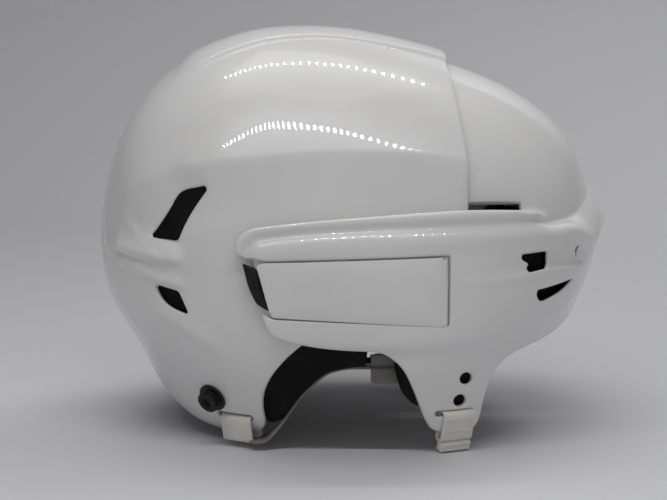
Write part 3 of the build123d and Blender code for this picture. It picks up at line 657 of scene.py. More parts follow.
def bump(nodes, links, shader, heights):
    """Bumps laid over one another: each is a height socket, a strength and a distance in metres."""
    last = None
    for height, strength, distance in heights:
        made = nodes.new("ShaderNodeBump")
        made.inputs["Strength"].default_value = strength
        made.inputs["Distance"].default_value = distance
        links.new(height, made.inputs["Height"])
        if last:
            links.new(last, made.inputs["Normal"])
        last = made.outputs[0]
    links.new(last, shader.inputs["Normal"])


def grey(value, warmth=0.0):
    """A grey, a little redder the warmer it is."""
    return value * (1 + warmth), value, value * (1 - warmth)


def shell_plastic():
    """White gloss moulded plastic with faint ripples, hairline scuffs and a little dust."""
    made, nodes, links, shader = material("shell_plastic")
    shader.inputs["IOR"].default_value = 1.5
    shader.inputs["Coat Weight"].default_value = 0.7
    shader.inputs["Coat Roughness"].default_value = 0.02
    cloud = noise(nodes, links, 14.0, 4.0)
    links.new(ramp(nodes, links, cloud, [(0.3, grey(0.715, 0.016)), (0.7, grey(0.775, 0.010))]),
              shader.inputs["Base Color"])
    scuffs = noise(nodes, links, 90.0, 6.0, (1.0, 0.25, 1.6), 0.7)
    links.new(span(nodes, links, scuffs, 0.22, 0.42), shader.inputs["Roughness"])
    speck = noise(nodes, links, 1400.0, 2.0)
    bump(nodes, links, shader, [(noise(nodes, links, 36.0, 2.0), 0.10, 0.0004), (speck, 0.03, 0.0001)])
    return made


def black_plastic():
    """Satin black moulded plastic with a fine grain."""
    made, nodes, links, shader = material("black_plastic")
    shader.inputs["IOR"].default_value = 1.46
    cloud = noise(nodes, links, 120.0, 5.0)
    colour = ramp(nodes, links, cloud, [(0.35, grey(0.006)), (0.7, grey(0.013))])
    links.new(colour, shader.inputs["Base Color"])
    shader.inputs["Specular IOR Level"].default_value = 0.3
    links.new(span(nodes, links, noise(nodes, links, 700.0, 3.0), 0.26, 0.5), shader.inputs["Roughness"])
    bump(nodes, links, shader, [(noise(nodes, links, 2600.0, 2.0), 0.35, 0.0001)])
    return made


def foam():
    """Matt black closed-cell foam: fine pores over a soft uneven skin."""
    made, nodes, links, shader = material("foam")
    shader.inputs["IOR"].default_value = 1.35
    cloud = noise(nodes, links, 60.0, 6.0)
    colour = ramp(nodes, links, cloud, [(0.3, grey(0.004)), (0.75, grey(0.011))])
    links.new(colour, shader.inputs["Base Color"])
    shader.inputs["Roughness"].default_value = 0.62
    shader.inputs["Specular IOR Level"].default_value = 0.2
    place = nodes.new("ShaderNodeTexCoord")
    cells = nodes.new("ShaderNodeTexVoronoi")
    cells.inputs["Scale"].default_value = 900.0
    links.new(place.outputs["Object"], cells.inputs["Vector"])
    bump(nodes, links, shader, [(cells.outputs["Distance"], 0.5, 0.0004), (cloud, 0.4, 0.0012)])
    return made


def strap_plastic(name="strap_plastic", share=1.0):
    """Soft off-white strap plastic, a little translucent, rubbed darker in its fine texture; a share below 1
    darkens its whole colour as painted shade.
    """
    made, nodes, links, shader = material(name)
    shader.inputs["IOR"].default_value = 1.46
    shader.inputs["Subsurface Weight"].default_value = 0.15
    shader.inputs["Subsurface Scale"].default_value = 0.002
    cloud = noise(nodes, links, 55.0, 5.0)
    # A share below 1 darkens both colours evenly: painted shade, not a darker plastic
    dark, light = [[part * share for part in colour] for colour in ((0.72, 0.695, 0.64), (0.82, 0.795, 0.74))]
    links.new(ramp(nodes, links, cloud, [(0.3, dark), (0.72, light)]), shader.inputs["Base Color"])
    links.new(span(nodes, links, noise(nodes, links, 300.0, 4.0), 0.38, 0.62), shader.inputs["Roughness"])
    bump(nodes, links, shader, [(noise(nodes, links, 1500.0, 2.0), 0.25, 0.00015)])
    return made


def steel():
    """Zinc-plated steel, brushed along its height."""
    made, nodes, links, shader = material("steel")
    shader.inputs["Metallic"].default_value = 1.0
    brushed = noise(nodes, links, 300.0, 4.0, (1.0, 1.0, 14.0))
    colour = ramp(nodes, links, brushed, [(0.3, grey(0.42)), (0.7, grey(0.60))])
    links.new(colour, shader.inputs["Base Color"])
    links.new(span(nodes, links, brushed, 0.25, 0.5), shader.inputs["Roughness"])
    return made


MATERIALS = {
    "shell_plastic": shell_plastic(),
    "black_plastic": black_plastic(),
    "foam": foam(),
    "strap_plastic": strap_plastic(),
    # The ear straps' copy of the strap plastic, at about a quarter of its brightness, is painted shade: the
    # same plastic as the loops, shaded inside the helmet
    "ear_strap_painted_shade": strap_plastic("ear_strap_painted_shade", 0.27),
    "steel": steel(),
}


def seen_runs(runs, depth=0.0):
    """Runs of side-view points with a depth each: a run is its points, or a depth and its points."""
    out = []
    for run in runs:
        level, points = run if isinstance(run, tuple) else (depth, run)
        out.append([(*point, level) if len(point) == 2 else point for point in points])
    return out


def loop_on_form(runs, rounding, spacing, depth=0.0):
    """The closed outline as even steps on the disc about the ear."""
    dense = [smooth_run(run, 1.0) for run in seen_runs(runs, depth)]
    line = join_rounded(dense, rounding)
    line = np.vstack([line, line[:1]])
    for _ in range(14):
        solid = form(unroll(line[:, :2], line[:, 2]), line[:, 2])
        long = np.linalg.norm(np.diff(solid, axis=0), axis=1) > spacing
        if not long.any():
            break
        middles = (line[:-1] + line[1:]) / 2
        line = np.insert(line, np.nonzero(long)[0] + 1, middles[long], axis=0)
    places = unroll(line[:, :2], line[:, 2])[:-1]
    return with_crossings(thin(places, spacing * 0.5, 0.0))


def join_rounded(dense, rounding):
    """One closed line from dense runs, with the corner before each run rounded off by its own radius."""
    radii = rounding if isinstance(rounding, list) else [rounding] * len(dense)
    out = []
    for run, *both in zip(dense, radii, radii[1:] + radii[:1]):
        walked = walked_along(run)
        radius, after_radius = [min(radius, walked[-1] * 0.45) for radius in both]
        inside = (walked > radius) & (walked < walked[-1] - after_radius)
        ends = [
            [np.interp(at, walked, run[:, k]) for k in range(run.shape[1])]
            for at in (radius, walked[-1] - after_radius)
        ]
        out.append(np.vstack([ends[:1], run[inside], ends[1:]]))
    line = []
    for number, run in enumerate(out):
        after = (number + 1) % len(out)
        line += [run, corner_curve(run[-1], dense[after][0], out[after][0], np.linspace(0, 1, 7)[1:-1])]
    line = np.vstack(line)
    return line[np.linalg.norm(line - np.roll(line, 1, axis=0), axis=1) > 0.02]


def polygon_runs(points):
    """The straight runs between the corners of a closed outline."""
    return [[a, b] for a, b in zip(points, points[1:] + points[:1])]


def side_crease(points, depth=0.0, offsets=(), step=1.2):
    """A crease from side-view points."""
    return Crease(unroll(smooth_run(points), depth), offsets, step)


# Rear shell

REAR_EDGE = shares_to_spots([
    (0.175, 0.905), (0.184, 0.845), (0.194, 0.755), (0.201, 0.679), (0.2035, 0.584), (0.203, 0.540),
])
EAR_EDGE = shares_to_spots([
    (-0.070, 0.297), (-0.100, 0.268), (-0.127, 0.236), (-0.154, 0.191), (-0.166, 0.158), (-0.171, 0.118),
    (-0.166, 0.062),
])
LOBE_EDGE = shares_to_spots([
    (-0.166, 0.062), (-0.185, 0.030), (-0.225, 0.022), (-0.267, 0.026), (-0.312, 0.040),
])
NAPE_HALF_LINE = [(33.9, 18.0), (25.0, 23.0), (15.9, 26.9), (8.0, 27.0), (1.5, 27.0)]
BIG_VENT = [
    (-106.6, 115.4), (-100.9, 123.3), (-95.4, 131.8), (-92.2, 136.8), (-88.4, 139.5), (-78.3, 141.2),
    (-77.2, 139.6), (-84.6, 129.1), (-89.3, 120.8), (-92.6, 113.5), (-106.4, 114.2),
]
SMALL_VENT = [(-104.1, 88.1), (-91.8, 85.8), (-87.0, 75.1), (-95.9, 77.9), (-100.8, 81.6), (-103.0, 85.6)]
SHOULDER = [
    (-126.0, 117.0), (-124.7, 124.0), (-117.6, 133.6), (-109.4, 140.4), (-101.0, 144.6), (-90.3, 148.1),
    (-79.6, 150.5), (-53.6, 153.2), (-28.3, 155.7), (-3.1, 156.5), (22.3, 156.0), (40.2, 154.5),
    (62.0, 150.5),
]
VENT_LIP = [(-88.8, 103.2), (-86.1, 109.5), (-81.3, 119.3), (-76.1, 130.1), (-72.5, 137.6), (-69.4, 142.7)]
SHELF = [
    (-131.0, 107.0), (-127.6, 105.2), (-123.6, 104.0), (-119.7, 103.4), (-106.5, 102.2), (-94.2, 101.3),
    (-85.0, 101.6),
]
LOW_RIDGE = [
    (-130.0, 99.5), (-127.1, 97.8), (-123.8, 96.6), (-114.9, 94.6), (-106.7, 92.0), (-95.4, 89.8),
    (-84.0, 88.4),
]
TAIL_RIDGE = [(-112.0, 77.0), (-96.2, 70.5), (-80.6, 62.5), (-62.0, 48.0)]
CROWN_EDGE = [
    (-104.0, 32.0), (-99.0, 35.3), (-91.7, 37.3), (-81.8, 37.4), (-71.1, 36.5), (-59.6, 35.0),
    (-47.2, 32.9), (-34.8, 31.3), (-24.0, 30.3), (-6.1, 29.6), (7.3, 29.5), (25.4, 28.6), (39.0, 27.2),
    (50.0, 26.5), (62.0, 26.0),
]
PANEL_EDGE = [
    (3.0, 156.0), (10.0, 148.0), (20.8, 121.3), (31.6, 106.0), (40.7, 95.1), (46.0, 80.4), (52.0, 68.0),
]

# Outlines that cross the mid plane go on past the helmet, to these places in the side view
BEYOND_REAR = -160.0
BEYOND_FRONT = 170.0
BEYOND_TOP = 245.0

# The strap loops' slots: their middles, and how far they reach to the rear, to the front, up and down
REAR_SLOT_SHARES = (-0.221, 0.078)
FRONT_SLOT_SHARES = (0.185, 0.099)
SLOT_REAR = 12.0
SLOT_FRONT = 10.0
SLOT_HALF = 1.5

# The vents' edges, then how far the rear shell's features rise or fall and where they end
VENT_STEP = 0.6
VENT_BEVEL = 0.6
SHOULDER_RISE = 1.2
SHOULDER_FALL = 2.8
SHOULDER_REACH = 20.0
SHOULDER_BLUNT = 0.14
LIP_DEPTH = 2.3
SHELF_HEIGHT = 3.0
LOW_RIDGE_HEIGHT = 2.1
TAIL_RIDGE_HEIGHT = 1.4
CROWN_RISE = 1.9
CROWN_ABOVE = 150.0
PANEL_RISE = 1.3
PANEL_BEHIND = -60.0
PANEL_BELOW = 170.0
PANEL_FOOT = (55.0, 75.0)


def slot_loop(shares, depth):
    """The narrow slot that a strap loop passes through, a little longer to the rear."""
    (x, _, z), _, along, _ = frame_at(shares, depth)
    rear, front = x - SLOT_REAR * along[0], x + SLOT_FRONT * along[0]
    low, high = z - SLOT_HALF, z + SLOT_HALF
    corners = [(rear, low), (front, low), (front, high), (rear, high)]
    return loop_on_form(polygon_runs(corners), 1.2, 0.6, depth)


def rear_outline():
    """The rear shell's edge, from the crown cap down to the ear, the lobe and the nape."""
    nape = form(place_of(None, *zip(*NAPE_HALF_LINE)))[:, [0, 2]]
    nape_line = [LOBE_EDGE[-1], *[tuple(point) for point in nape]]
    far_back = (BEYOND_REAR, NAPE_HALF_LINE[-1][1])
    top_back, top_front = (BEYOND_REAR, BEYOND_TOP), (47.5, BEYOND_TOP)
    under_arm = [(57.0, 110.0), (50.0, 70.0)]
    return loop_on_form([
        REAR_EDGE,
        [REAR_EDGE[-1], *under_arm],
        [under_arm[-1], EAR_EDGE[0]],
        EAR_EDGE,
        LOBE_EDGE,
        nape_line,
        [nape_line[-1], far_back],
        [far_back, top_back],
        [top_back, top_front],
        [top_front, REAR_EDGE[0]],
    ], [0.2, 4.0, 4.0, 10.0, 5.0, 6.0, 0.2, 0.2, 0.2, 0.2], 1.3)


def rear_shell():
    # The upper vent's sides: smooth runs that share their end points
    big_vent = [BIG_VENT[first:last] for first, last in ((0, 5), (4, 6), (5, 7), (6, 10), (9, 11))]
    big_vent.append([BIG_VENT[-1], BIG_VENT[0]])
    holes = [
        grown(loop_on_form(big_vent, [0.5, 3.0, 0.8, 0.8, 1.4, 0.8], VENT_STEP), VENT_BEVEL),
        grown(loop_on_form(polygon_runs(SMALL_VENT), [1.4, 1.6, 1.2, 4.0, 3.0, 1.5], VENT_STEP), VENT_BEVEL),
        slot_loop(REAR_SLOT_SHARES, 0.0),
    ]
    shoulder = side_crease(SHOULDER, 0.0, (-6.0, -3.0, -1.6, -0.6, 0.6, 1.6, 3.0, 6.0))
    lip = side_crease(VENT_LIP, 0.0, (-1.4, 0.0, 1.4, 3.0, 5.0))
    shelf = side_crease(SHELF, 0.0, (-3.4, -2.2, -1.2, -0.4, 0.6, 2.0, 4.5))
    low_ridge = side_crease(LOW_RIDGE, 0.0, (-3.6, -2.4, -1.2, -0.2, 1.0, 2.6, 4.5))
    tail_ridge = side_crease(TAIL_RIDGE)
    crown = Crease(place_of(*smooth_run(CROWN_EDGE).T, None), (-1.4, -0.7, 0.0, 0.7, 1.4), 1.0)
    panel = Crease(place_of(None, *smooth_run(PANEL_EDGE).T), (-1.6, -0.8, 0.0, 0.8, 1.6), 1.0)

    def outer(places, base):
        # The shell rises towards the shoulder's crease from above and falls away below it
        side, share = shoulder.beside(base)
        side = -side
        above = SHOULDER_RISE * np.clip(1 + side / SHOULDER_REACH, 0, 1) ** 1.6
        below = SHOULDER_RISE - SHOULDER_FALL * (1 - (1 - np.clip(side / SHOULDER_REACH, 0, 1)) ** 1.6)
        below = (below + 1.3 * ease(side, 22, 40)) * (1 - ease(side, 40, 80))
        blunt = SHOULDER_BLUNT * np.exp(-((side / 1.1) ** 2))
        height = (np.where(side < 0, above, below) - blunt) * ease(share, 0.0, 0.1)

        # The hollow round the upper vent, the two ledges below it and the ridge at the tail
        side, share = lip.beside(base)
        height -= fade(share, 0.15, 0.75) * LIP_DEPTH * np.clip(side / 10, 0, 1) * (1 - ease(side, 18, 36))
        side, share = shelf.beside(base)
        height += fade(share, 0.2, 0.84, 0.02) * SHELF_HEIGHT * ledge(side, 9.5, 1.2, 1.1, 2.0)
        side, share = low_ridge.beside(base)
        height += fade(share, 0.2, 0.84) * LOW_RIDGE_HEIGHT * ledge(side, 5.5, 1.1, 1.3, 2.6)
        side, share = tail_ridge.beside(base)
        height += fade(share, 0.3, 0.6) * TAIL_RIDGE_HEIGHT * ridge(side, 9, 6)

        # The raised band over the crown and the raised panel at the back
        side, share = crown.beside(base)
        height += CROWN_RISE * soft_step(side, 2.2) * ease(share, 0.0, 0.16) * (base[:, 2] > CROWN_ABOVE)
        side, _ = panel.beside(base)
        on_panel = (base[:, 0] < PANEL_BEHIND) & (base[:, 2] < PANEL_BELOW)
        height += PANEL_RISE * soft_step(-side, 2.6) * on_panel * ease(base[:, 2], *PANEL_FOOT)
        return height

    creases = [shoulder, lip, shelf, low_ridge, crown, panel]
    made = moulded(rear_outline(), holes, outer, flat_at(-WALL), creases, 2.0, 1.3, 0.7)
    return mesh_object("rear_shell_moulding", *mirrored(*made), "rear", "shell_plastic", ("rear_shell",))


# Front shell

BAND_TOP = spline(*zip(*shares_to_spots([
    (-0.225, 0.508), (-0.186, 0.536), (-0.098, 0.546), (0.076, 0.567), (0.200, 0.580), (0.310, 0.575),
    (0.369, 0.566), (0.411, 0.551), (0.453, 0.531), (0.498, 0.514),
])))
GROOVE_LINE = [
    (-56.0, 107.2), (-55.3, 110.1), (-53.9, 112.1), (-52.1, 113.9), (-50.1, 115.1), (-47.1, 115.8),
    (-43.1, 116.4), (-35.6, 117.3), (-25.6, 118.3), (-5.7, 119.6), (14.3, 120.6), (36.8, 121.2),
    (58.2, 121.8), (72.7, 122.2), (86.0, 122.5), (97.1, 122.7), (106.4, 123.2), (115.6, 124.3),
    (122.4, 126.2), (127.5, 129.2), (132.0, 133.0), (140.0, 139.0),
]
STRIP_WIDTH = spline(*zip(*[
    (-60.0, 6.2), (-43.0, 5.8), (-25.0, 5.9), (-5.7, 6.5), (14.3, 6.7), (36.8, 7.7), (58.2, 7.8),
    (72.7, 7.0), (86.0, 5.9), (97.0, 5.2), (110.0, 4.0), (142.0, 4.0),
]))
BAND_TURN = spline(*zip(*[
    (-60.0, 62.0), (14.5, 58.5), (49.0, 60.0), (75.0, 62.0), (101.0, 67.0), (125.0, 79.0), (140.0, 88.0),
]))
ARM_TOP = [
    (-60.8, 110.8), (-60.6, 113.0), (-59.7, 115.3), (-57.6, 117.8), (-54.6, 119.8), (-50.1, 121.0),
    (-43.1, 122.0), (-25.6, 124.0), (-5.7, 125.7), (14.3, 127.2), (36.9, 128.7), (58.2, 129.4),
    (72.8, 129.1), (86.8, 128.4),
]
SLOT_END = [(86.8, 128.4), (88.3, 129.2), (85.6, 131.0)]
CAP_SIDE = [(85.6, 131.0), (60.0, 131.6), (26.0, 131.9)]
CAP_REAR = [(26.0, 131.9), (25.0, 160.0), (22.0, 185.0), (18.0, 208.0)]
FACE_EDGE = shares_to_spots([
    (0.451, 0.301), (0.435, 0.299), (0.389, 0.273), (0.323, 0.248), (0.273, 0.221), (0.250, 0.178),
    (0.237, 0.121), (0.229, 0.067),
])
EAR_PIECE_FOOT = shares_to_spots([(0.229, 0.067), (0.216, 0.049), (0.156, 0.052), (0.140, 0.058)])
EAR_PIECE_REAR = shares_to_spots([
    (0.140, 0.058), (0.130, 0.081), (0.116, 0.126), (0.100, 0.178), (0.078, 0.227), (0.051, 0.254),
])
BAR_LOW = [(14.5, 58.0), (-28.2, 62.0), (-38.0, 64.5)]
BAR_END = [(-38.0, 64.5), (-42.9, 67.7), (-46.2, 73.9), (-48.2, 78.9)]
WINDOW_LOW = [(-48.2, 78.9), (-42.3, 75.4), (47.0, 71.4)]
WINDOW_FRONT = [(47.0, 71.4), (47.0, 107.3)]
WINDOW_TOP = [(47.0, 107.3), (-44.6, 104.6), (-56.8, 106.5)]
ARM_TIP = [(-56.8, 106.5), (-59.3, 108.0), (-60.8, 110.8)]
BROW_VENT = [
    (84.7, 106.6), (99.1, 107.4), (99.8, 101.1), (97.6, 98.2), (88.0, 96.8), (87.0, 99.4), (88.4, 101.4),
    (84.2, 104.0),
]
LOWER_VENT = [
    (93.0, 85.0), (93.6, 87.2), (103.9, 88.5), (115.0, 90.2), (108.0, 85.0), (100.0, 81.8), (95.6, 81.1),
]
TINY_VENT = [(116.9, 108.2), (119.3, 108.1), (118.9, 104.0), (118.3, 101.6), (117.7, 104.6)]
UNDER_BROW = [
    (44.0, 93.0), (54.5, 93.3), (67.3, 93.4), (83.2, 94.3), (99.9, 96.4), (112.0, 95.6), (123.8, 91.3),
]
LOWER_LINE = [(60.0, 87.0), (72.7, 85.2), (83.4, 84.8), (95.0, 86.5)]
VISOR_HOLES = [(57.3, 41.3), (54.5, 28.7)]
VISOR_HOLE_RADIUS = 3.4
HIGH = 7.4
ARM_EDGE = 7.0

# Stretches in millimetres towards the nose over which the band changes
STRIP_TO_LEDGE = (91, 111)
BEAD_OPENS = (83, 91)
STRIP_FALLS = (84, 91)
BEAD_ENDS = (93, 107)
NOSE = (110, 135)
TUCK = (112, 141)
BEAD_HEIGHT = 1.8
BEAD_START = 0.3
CHANNEL_DEPTH = 2.0


def circle_runs(x, z, radius, depth, sides=4):
    """A round hole's outline: quarter runs of points on the circle."""
    turns = np.linspace(0, 2 * math.pi, sides * 6 + 1)
    points = [(x + radius * math.cos(t), z + radius * math.sin(t), depth) for t in turns]
    return [points[6 * k:6 * k + 7] for k in range(sides)]


def band_height(places, base, groove):
    """The depth of the band: its top strip or ledge, the groove, the bulge below it and the skirt."""
    seen = form(places, HIGH)
    x, z = seen[:, 0], seen[:, 2]
    side, _ = groove.beside(base)
    front, nose, tuck = ease(x, *STRIP_TO_LEDGE), ease(x, *NOSE), ease(x, *TUCK)

    # The strip is a bead beside the groove, which opens out and falls to the ledge over the brow
    wide = STRIP_WIDTH(x)
    share = np.clip((side - BEAD_START) / (wide - BEAD_START), 0, 1) ** 0.8
    bead = np.sin(share * math.pi)
    bead = bead + (1 - bead) * (share > 0.5) * ease(x, *BEAD_OPENS)
    strip = GROOVE + BEAD_HEIGHT * bead * (1 - ease(x, *BEAD_ENDS))
    fall = ease(side, 0.42 * wide, 0.42 * wide + 6.0) * ease(x, *STRIP_FALLS)
    strip = strip + (CAP_DEPTH - strip) * fall
    strip = strip + (CAP_DEPTH - strip) * front

    # The bulge rises from the groove to its crest, then falls to the level below and to the skirt
    crest = BAND + 0.35 - 3.2 * tuck
    high = HIGH - 4.6 * tuck
    low_edge = SKIRT - 1.4 * tuck
    low = GROOVE + (CAP_DEPTH - GROOVE) * front
    far = np.clip((-side - 1.3 * (1 - front)) / (8.5 + 0.5 * front + 11.0 * nose), 0, 1)
    bulge = low + (crest - low) * (1 - (1 - far) ** (1.9 - 0.75 * nose))
    height = np.where(side > 0, strip, bulge)
    height -= (crest - high) * ease(-side, 9.5 + 9.5 * nose, 15.0 + 16.0 * nose)
    height -= (high - low_edge) * soft_step(BAND_TURN(x) - z, 5.5)
    return height


def front_outline():
    """The front shell's edge: the arm's top, the crown cap, the brow, the ear piece and the latch window."""
    forehead = (141.0, 66.0)
    cap_top = (14.0, BEYOND_TOP)
    bar_end = [(*point, level) for point, level in zip(BAR_END, (6.0, 6.5, ARM_EDGE, ARM_EDGE))]
    outline = [
        (5.6, ARM_TOP),
        [(*SLOT_END[0], 6.0), (*SLOT_END[1], 1.0), (*SLOT_END[2], CAP_DEPTH)],
        (CAP_DEPTH, CAP_SIDE),
        (CAP_DEPTH, CAP_REAR),
        (CAP_DEPTH, [CAP_REAR[-1], cap_top]),
        (CAP_DEPTH, [cap_top, (BEYOND_FRONT, BEYOND_TOP)]),
        [(BEYOND_FRONT, BEYOND_TOP, CAP_DEPTH), (BEYOND_FRONT, forehead[1], SKIRT)],
        (SKIRT, [(BEYOND_FRONT, forehead[1]), forehead]),
        (SKIRT, [forehead, *FACE_EDGE]),
        (SKIRT, EAR_PIECE_FOOT),
        (SKIRT, EAR_PIECE_REAR),
        (SKIRT + 1, BAR_LOW),
        bar_end,
        (ARM_EDGE, WINDOW_LOW[:2]),
        (ARM_EDGE, WINDOW_LOW[1:]),
        (ARM_EDGE, WINDOW_FRONT),
        (ARM_EDGE, WINDOW_TOP[:2]),
        (ARM_EDGE, WINDOW_TOP[1:]),
        (6.2, ARM_TIP),
    ]
    corners = [0.2, 0.5, 0.5, 4.0, 0.2, 0.2, 0.2, 0.2, 0.2, 3.0, 3.0, 6.0, 3.0, 2.5, 3.0, 1.2, 1.2, 1.0, 0.6]
    return loop_on_form(outline, corners, 1.1)


def front_shell():
    visor_holes = [circle_runs(*middle, VISOR_HOLE_RADIUS, SKIRT) for middle in VISOR_HOLES]
    lower_vent = [LOWER_VENT[:2], LOWER_VENT[1:4], LOWER_VENT[3:6], [*LOWER_VENT[5:], LOWER_VENT[0]]]
    holes = [
        loop_on_form(polygon_runs(BROW_VENT), 1.4, 0.6, HIGH),
        loop_on_form(lower_vent, [1.4, 1.4, 1.0, 1.6], 0.6, HIGH),
        loop_on_form(polygon_runs(TINY_VENT), 0.9, 0.5, HIGH),
        *[loop_on_form(circle, 0.02, 0.5, SKIRT) for circle in visor_holes],
        slot_loop(FRONT_SLOT_SHARES, SKIRT),
    ]
    under_brow = side_crease(UNDER_BROW, HIGH, (-3.2, -1.6, 0.0, 1.6, 3.2))
    lower_line = side_crease(LOWER_LINE, HIGH)
    groove = side_crease(GROOVE_LINE, 4.0, (-6.0, -4.0, -2.6, -1.6, -0.7, 0.4, 1.4, 2.6, 4.2, 5.6))
    xs = np.linspace(5, 134, 120)
    places = unroll(np.stack([xs, BAND_TURN(xs)], -1), HIGH)
    turn = Crease(places[rho_of(places) < QUARTER - 1e-3], (-2.6, -1.0, 1.0, 2.6), 1.2)

    def outer(places, base):
        height = band_height(places, base, groove)
        side, share = under_brow.beside(base)
        height += ease(share, 0.0, 0.35) * 1.1 * ridge(side, 4.0, 4.5, 0.3)
        side, share = lower_line.beside(base)
        height += 0.6 * np.exp(-(side / 3.0) ** 2) * np.sin(np.clip(share, 0, 1) * math.pi)
        seen = form(places, HIGH)
        x, z = seen[:, 0], seen[:, 2]
        channel = ease(x, 97, 102) * (1 - ease(x, 119, 128)) * ease(z, 96.2, 99.0)
        height -= CHANNEL_DEPTH * channel * (1 - ease(z, 105.8, 108.2))
        near = form(places, CAP_DEPTH)
        on_cap = (near[:, 0] < 89.0) & (near[:, 2] > 130.2)
        return np.where(on_cap, CAP_DEPTH, height)

    def inner(places, base):
        # About 2.8 mm thick; inside the band the face stays no further out than just past the skirt's level
        height = outer(places, base)
        return np.where(height > SKIRT + 1.3, np.minimum(height - 2.6, SKIRT + 0.2), height - 2.8)

    made = moulded(front_outline(), holes, outer, inner, [under_brow, groove, turn], 2.0, 1.1, 0.6)
    return mesh_object("front_shell_moulding", *mirrored(*made), "front", "shell_plastic", ("front_shell",))


# Pieces that come in pairs

def pair(name, shape, body, slot, replaces=()):
    """The right-hand piece and its mirror image: {} in a body's or node's name takes the side."""
    vertices, faces = np.asarray(shape[0], float), shape[1]
    made = []
    for side, across in (("right", 1), ("left", -1)):
        turned = faces if across > 0 else [tuple(reversed(face)) for face in faces]
        made.append(mesh_object(f"{side}_{name}", vertices * (1, across, 1), turned, body.format(side), slot,
                                [node.format(side) for node in replaces]))
    return made


def joined(*shapes):
    """Several closed meshes as one."""
    vertices, faces, total = [], [], 0
    for points, some, *_ in shapes:
        vertices.append(np.asarray(points, float))
        faces += [tuple(int(i) + total for i in face) for face in some]
        total += len(points)
    return np.vstack(vertices), faces


def rounded_profile(points, radius=0.4, steps=3):
    """A profile of radii and heights with its inner corners rounded off."""
    points = [np.asarray(point, float) for point in points]
    out = [points[0]]
    for before, corner, after in zip(points, points[1:], points[2:]):
        back, on = before - corner, after - corner
        cut = min(radius, 0.45 * np.linalg.norm(back), 0.45 * np.linalg.norm(on))
        a, b = corner + cut * unit(back), corner + cut * unit(on)
        out += corner_curve(a, corner, b, np.linspace(0, 1, steps + 1))
    return np.array([*out, points[-1]])


def lathe(profile, origin, axis, sides=48):
    """A closed turned piece: the profile runs from the axis, round the outside and back to it."""
    axis = unit(axis)
    first = unit(np.cross(axis, (0.0, 0.0, 1.0) if abs(axis[2]) < 0.9 else (1.0, 0.0, 0.0)))
    second = np.cross(axis, first)
    turns = np.linspace(0, 2 * math.pi, sides, endpoint=False)
    ring = np.cos(turns)[:, None] * first + np.sin(turns)[:, None] * second
    vertices = [origin + axis * profile[0][1]]
    for radius, height in profile[1:-1]:
        vertices += list(origin + axis * height + radius * ring)
    vertices.append(origin + axis * profile[-1][1])
    faces = []
    rows = len(profile) - 2
    for k in range(sides):
        after = (k + 1) % sides
        faces.append((0, 1 + after, 1 + k))
        for row in range(rows - 1):
            a, b = 1 + row * sides, 1 + (row + 1) * sides
            faces.append((a + k, a + after, b + after, b + k))
        last = 1 + (rows - 1) * sides
        faces.append((last + k, last + after, len(vertices) - 1))
    return facing_out(np.array(vertices), faces)


def rod(radius, low, high, rounding, origin, axis, sides):
    """A round rod between two heights along its axis."""
    profile = [(0, low), (radius, low), (radius, high), (0, high)]
    return lathe(rounded_profile(profile, rounding), origin, axis, sides)


def facing_out(vertices, faces):
    """The closed mesh with its faces turned outward."""
    volume = 0.0
    for face in faces:
        a = vertices[face[0]]
        for b, c in zip(face[1:-1], face[2:]):
            volume += np.dot(a, np.cross(vertices[b], vertices[c]))
    return vertices, faces if volume > 0 else [tuple(reversed(face)) for face in faces]


def rounded_section(width, thickness, radius, steps=3):
    """Points round a rectangle with round corners, across and up."""
    radius = min(radius, 0.49 * width, 0.49 * thickness)
    out = []
    for x, y, start in ((1, 1, 0), (-1, 1, 1), (-1, -1, 2), (1, -1, 3)):
        for t in np.linspace(0, QUARTER, steps + 1):
            turn = start * QUARTER + t
            out.append((x * (width / 2 - radius) + radius * math.cos(turn),
                        y * (thickness / 2 - radius) + radius * math.sin(turn)))
    return np.array(out)


def ribbon(path, across, width, thickness, radius, closed=False):
    """A band along a path, with round edges: across is the direction of its width."""
    path = np.asarray(path, float)
    count = len(path)
    across = np.broadcast_to(np.asarray(across, float), path.shape)
    if closed:
        along = np.roll(path, -1, axis=0) - np.roll(path, 1, axis=0)
    else:
        along = np.gradient(path, axis=0)
    along = unit(along)
    up = unit(np.cross(along, across))
    side = unit(np.cross(up, along))
    section = rounded_section(width, thickness, radius)
    vertices = []
    for number in range(count):
        shrink = 1.0
        if not closed and number in (0, count - 1):
            shrink = 1 - min(0.3, 1.2 * radius / thickness)
        vertices.append(path[number] + shrink * (section[:, :1] * side[number] + section[:, 1:] * up[number]))
    vertices = np.vstack(vertices)
    size = len(section)
    faces = []
    for number in range(count if closed else count - 1):
        a, b = number * size, ((number + 1) % count) * size
        for k in range(size):
            after = (k + 1) % size
            faces.append((a + k, a + after, b + after, b + k))
    if not closed:
        faces.append(tuple(reversed(range(size))))
        faces.append(tuple((count - 1) * size + k for k in range(size)))
    return facing_out(vertices, faces)


def rounded_path(corners, radius, step=0.8, closed=True):
    """Corner points joined by straight lines with round corners."""
    corners = [np.asarray(corner, float) for corner in corners]
    count = len(corners)
    out = []
    for number in range(count):
        if not closed and number in (0, count - 1):
            out.append(corners[number][None])
            continue
        before, corner, after = corners[number - 1], corners[number], corners[(number + 1) % count]
        cut = min(radius, 0.47 * np.linalg.norm(before - corner), 0.47 * np.linalg.norm(after - corner))
        a, b = corner + cut * unit(before - corner), corner + cut * unit(after - corner)
        out.append(corner_curve(a, corner, b, np.linspace(0, 1, 7)))
    line = np.vstack(out)
    if closed:
        line = np.vstack([line, line[:1]])
    walked = walked_along(line)
    kept = np.concatenate([[True], np.diff(walked) > 1e-6])
    at = np.linspace(0, walked[-1], max(8, int(walked[-1] / step)))
    line = np.stack([np.interp(at, walked[kept], line[kept][:, k]) for k in range(3)], -1)
    return line[:-1] if closed else line


def edge_crease(loop, offsets, step):
    """A closed outline as a crease."""
    return Crease(np.vstack([loop, loop[:1]]), offsets, step)


# Latches

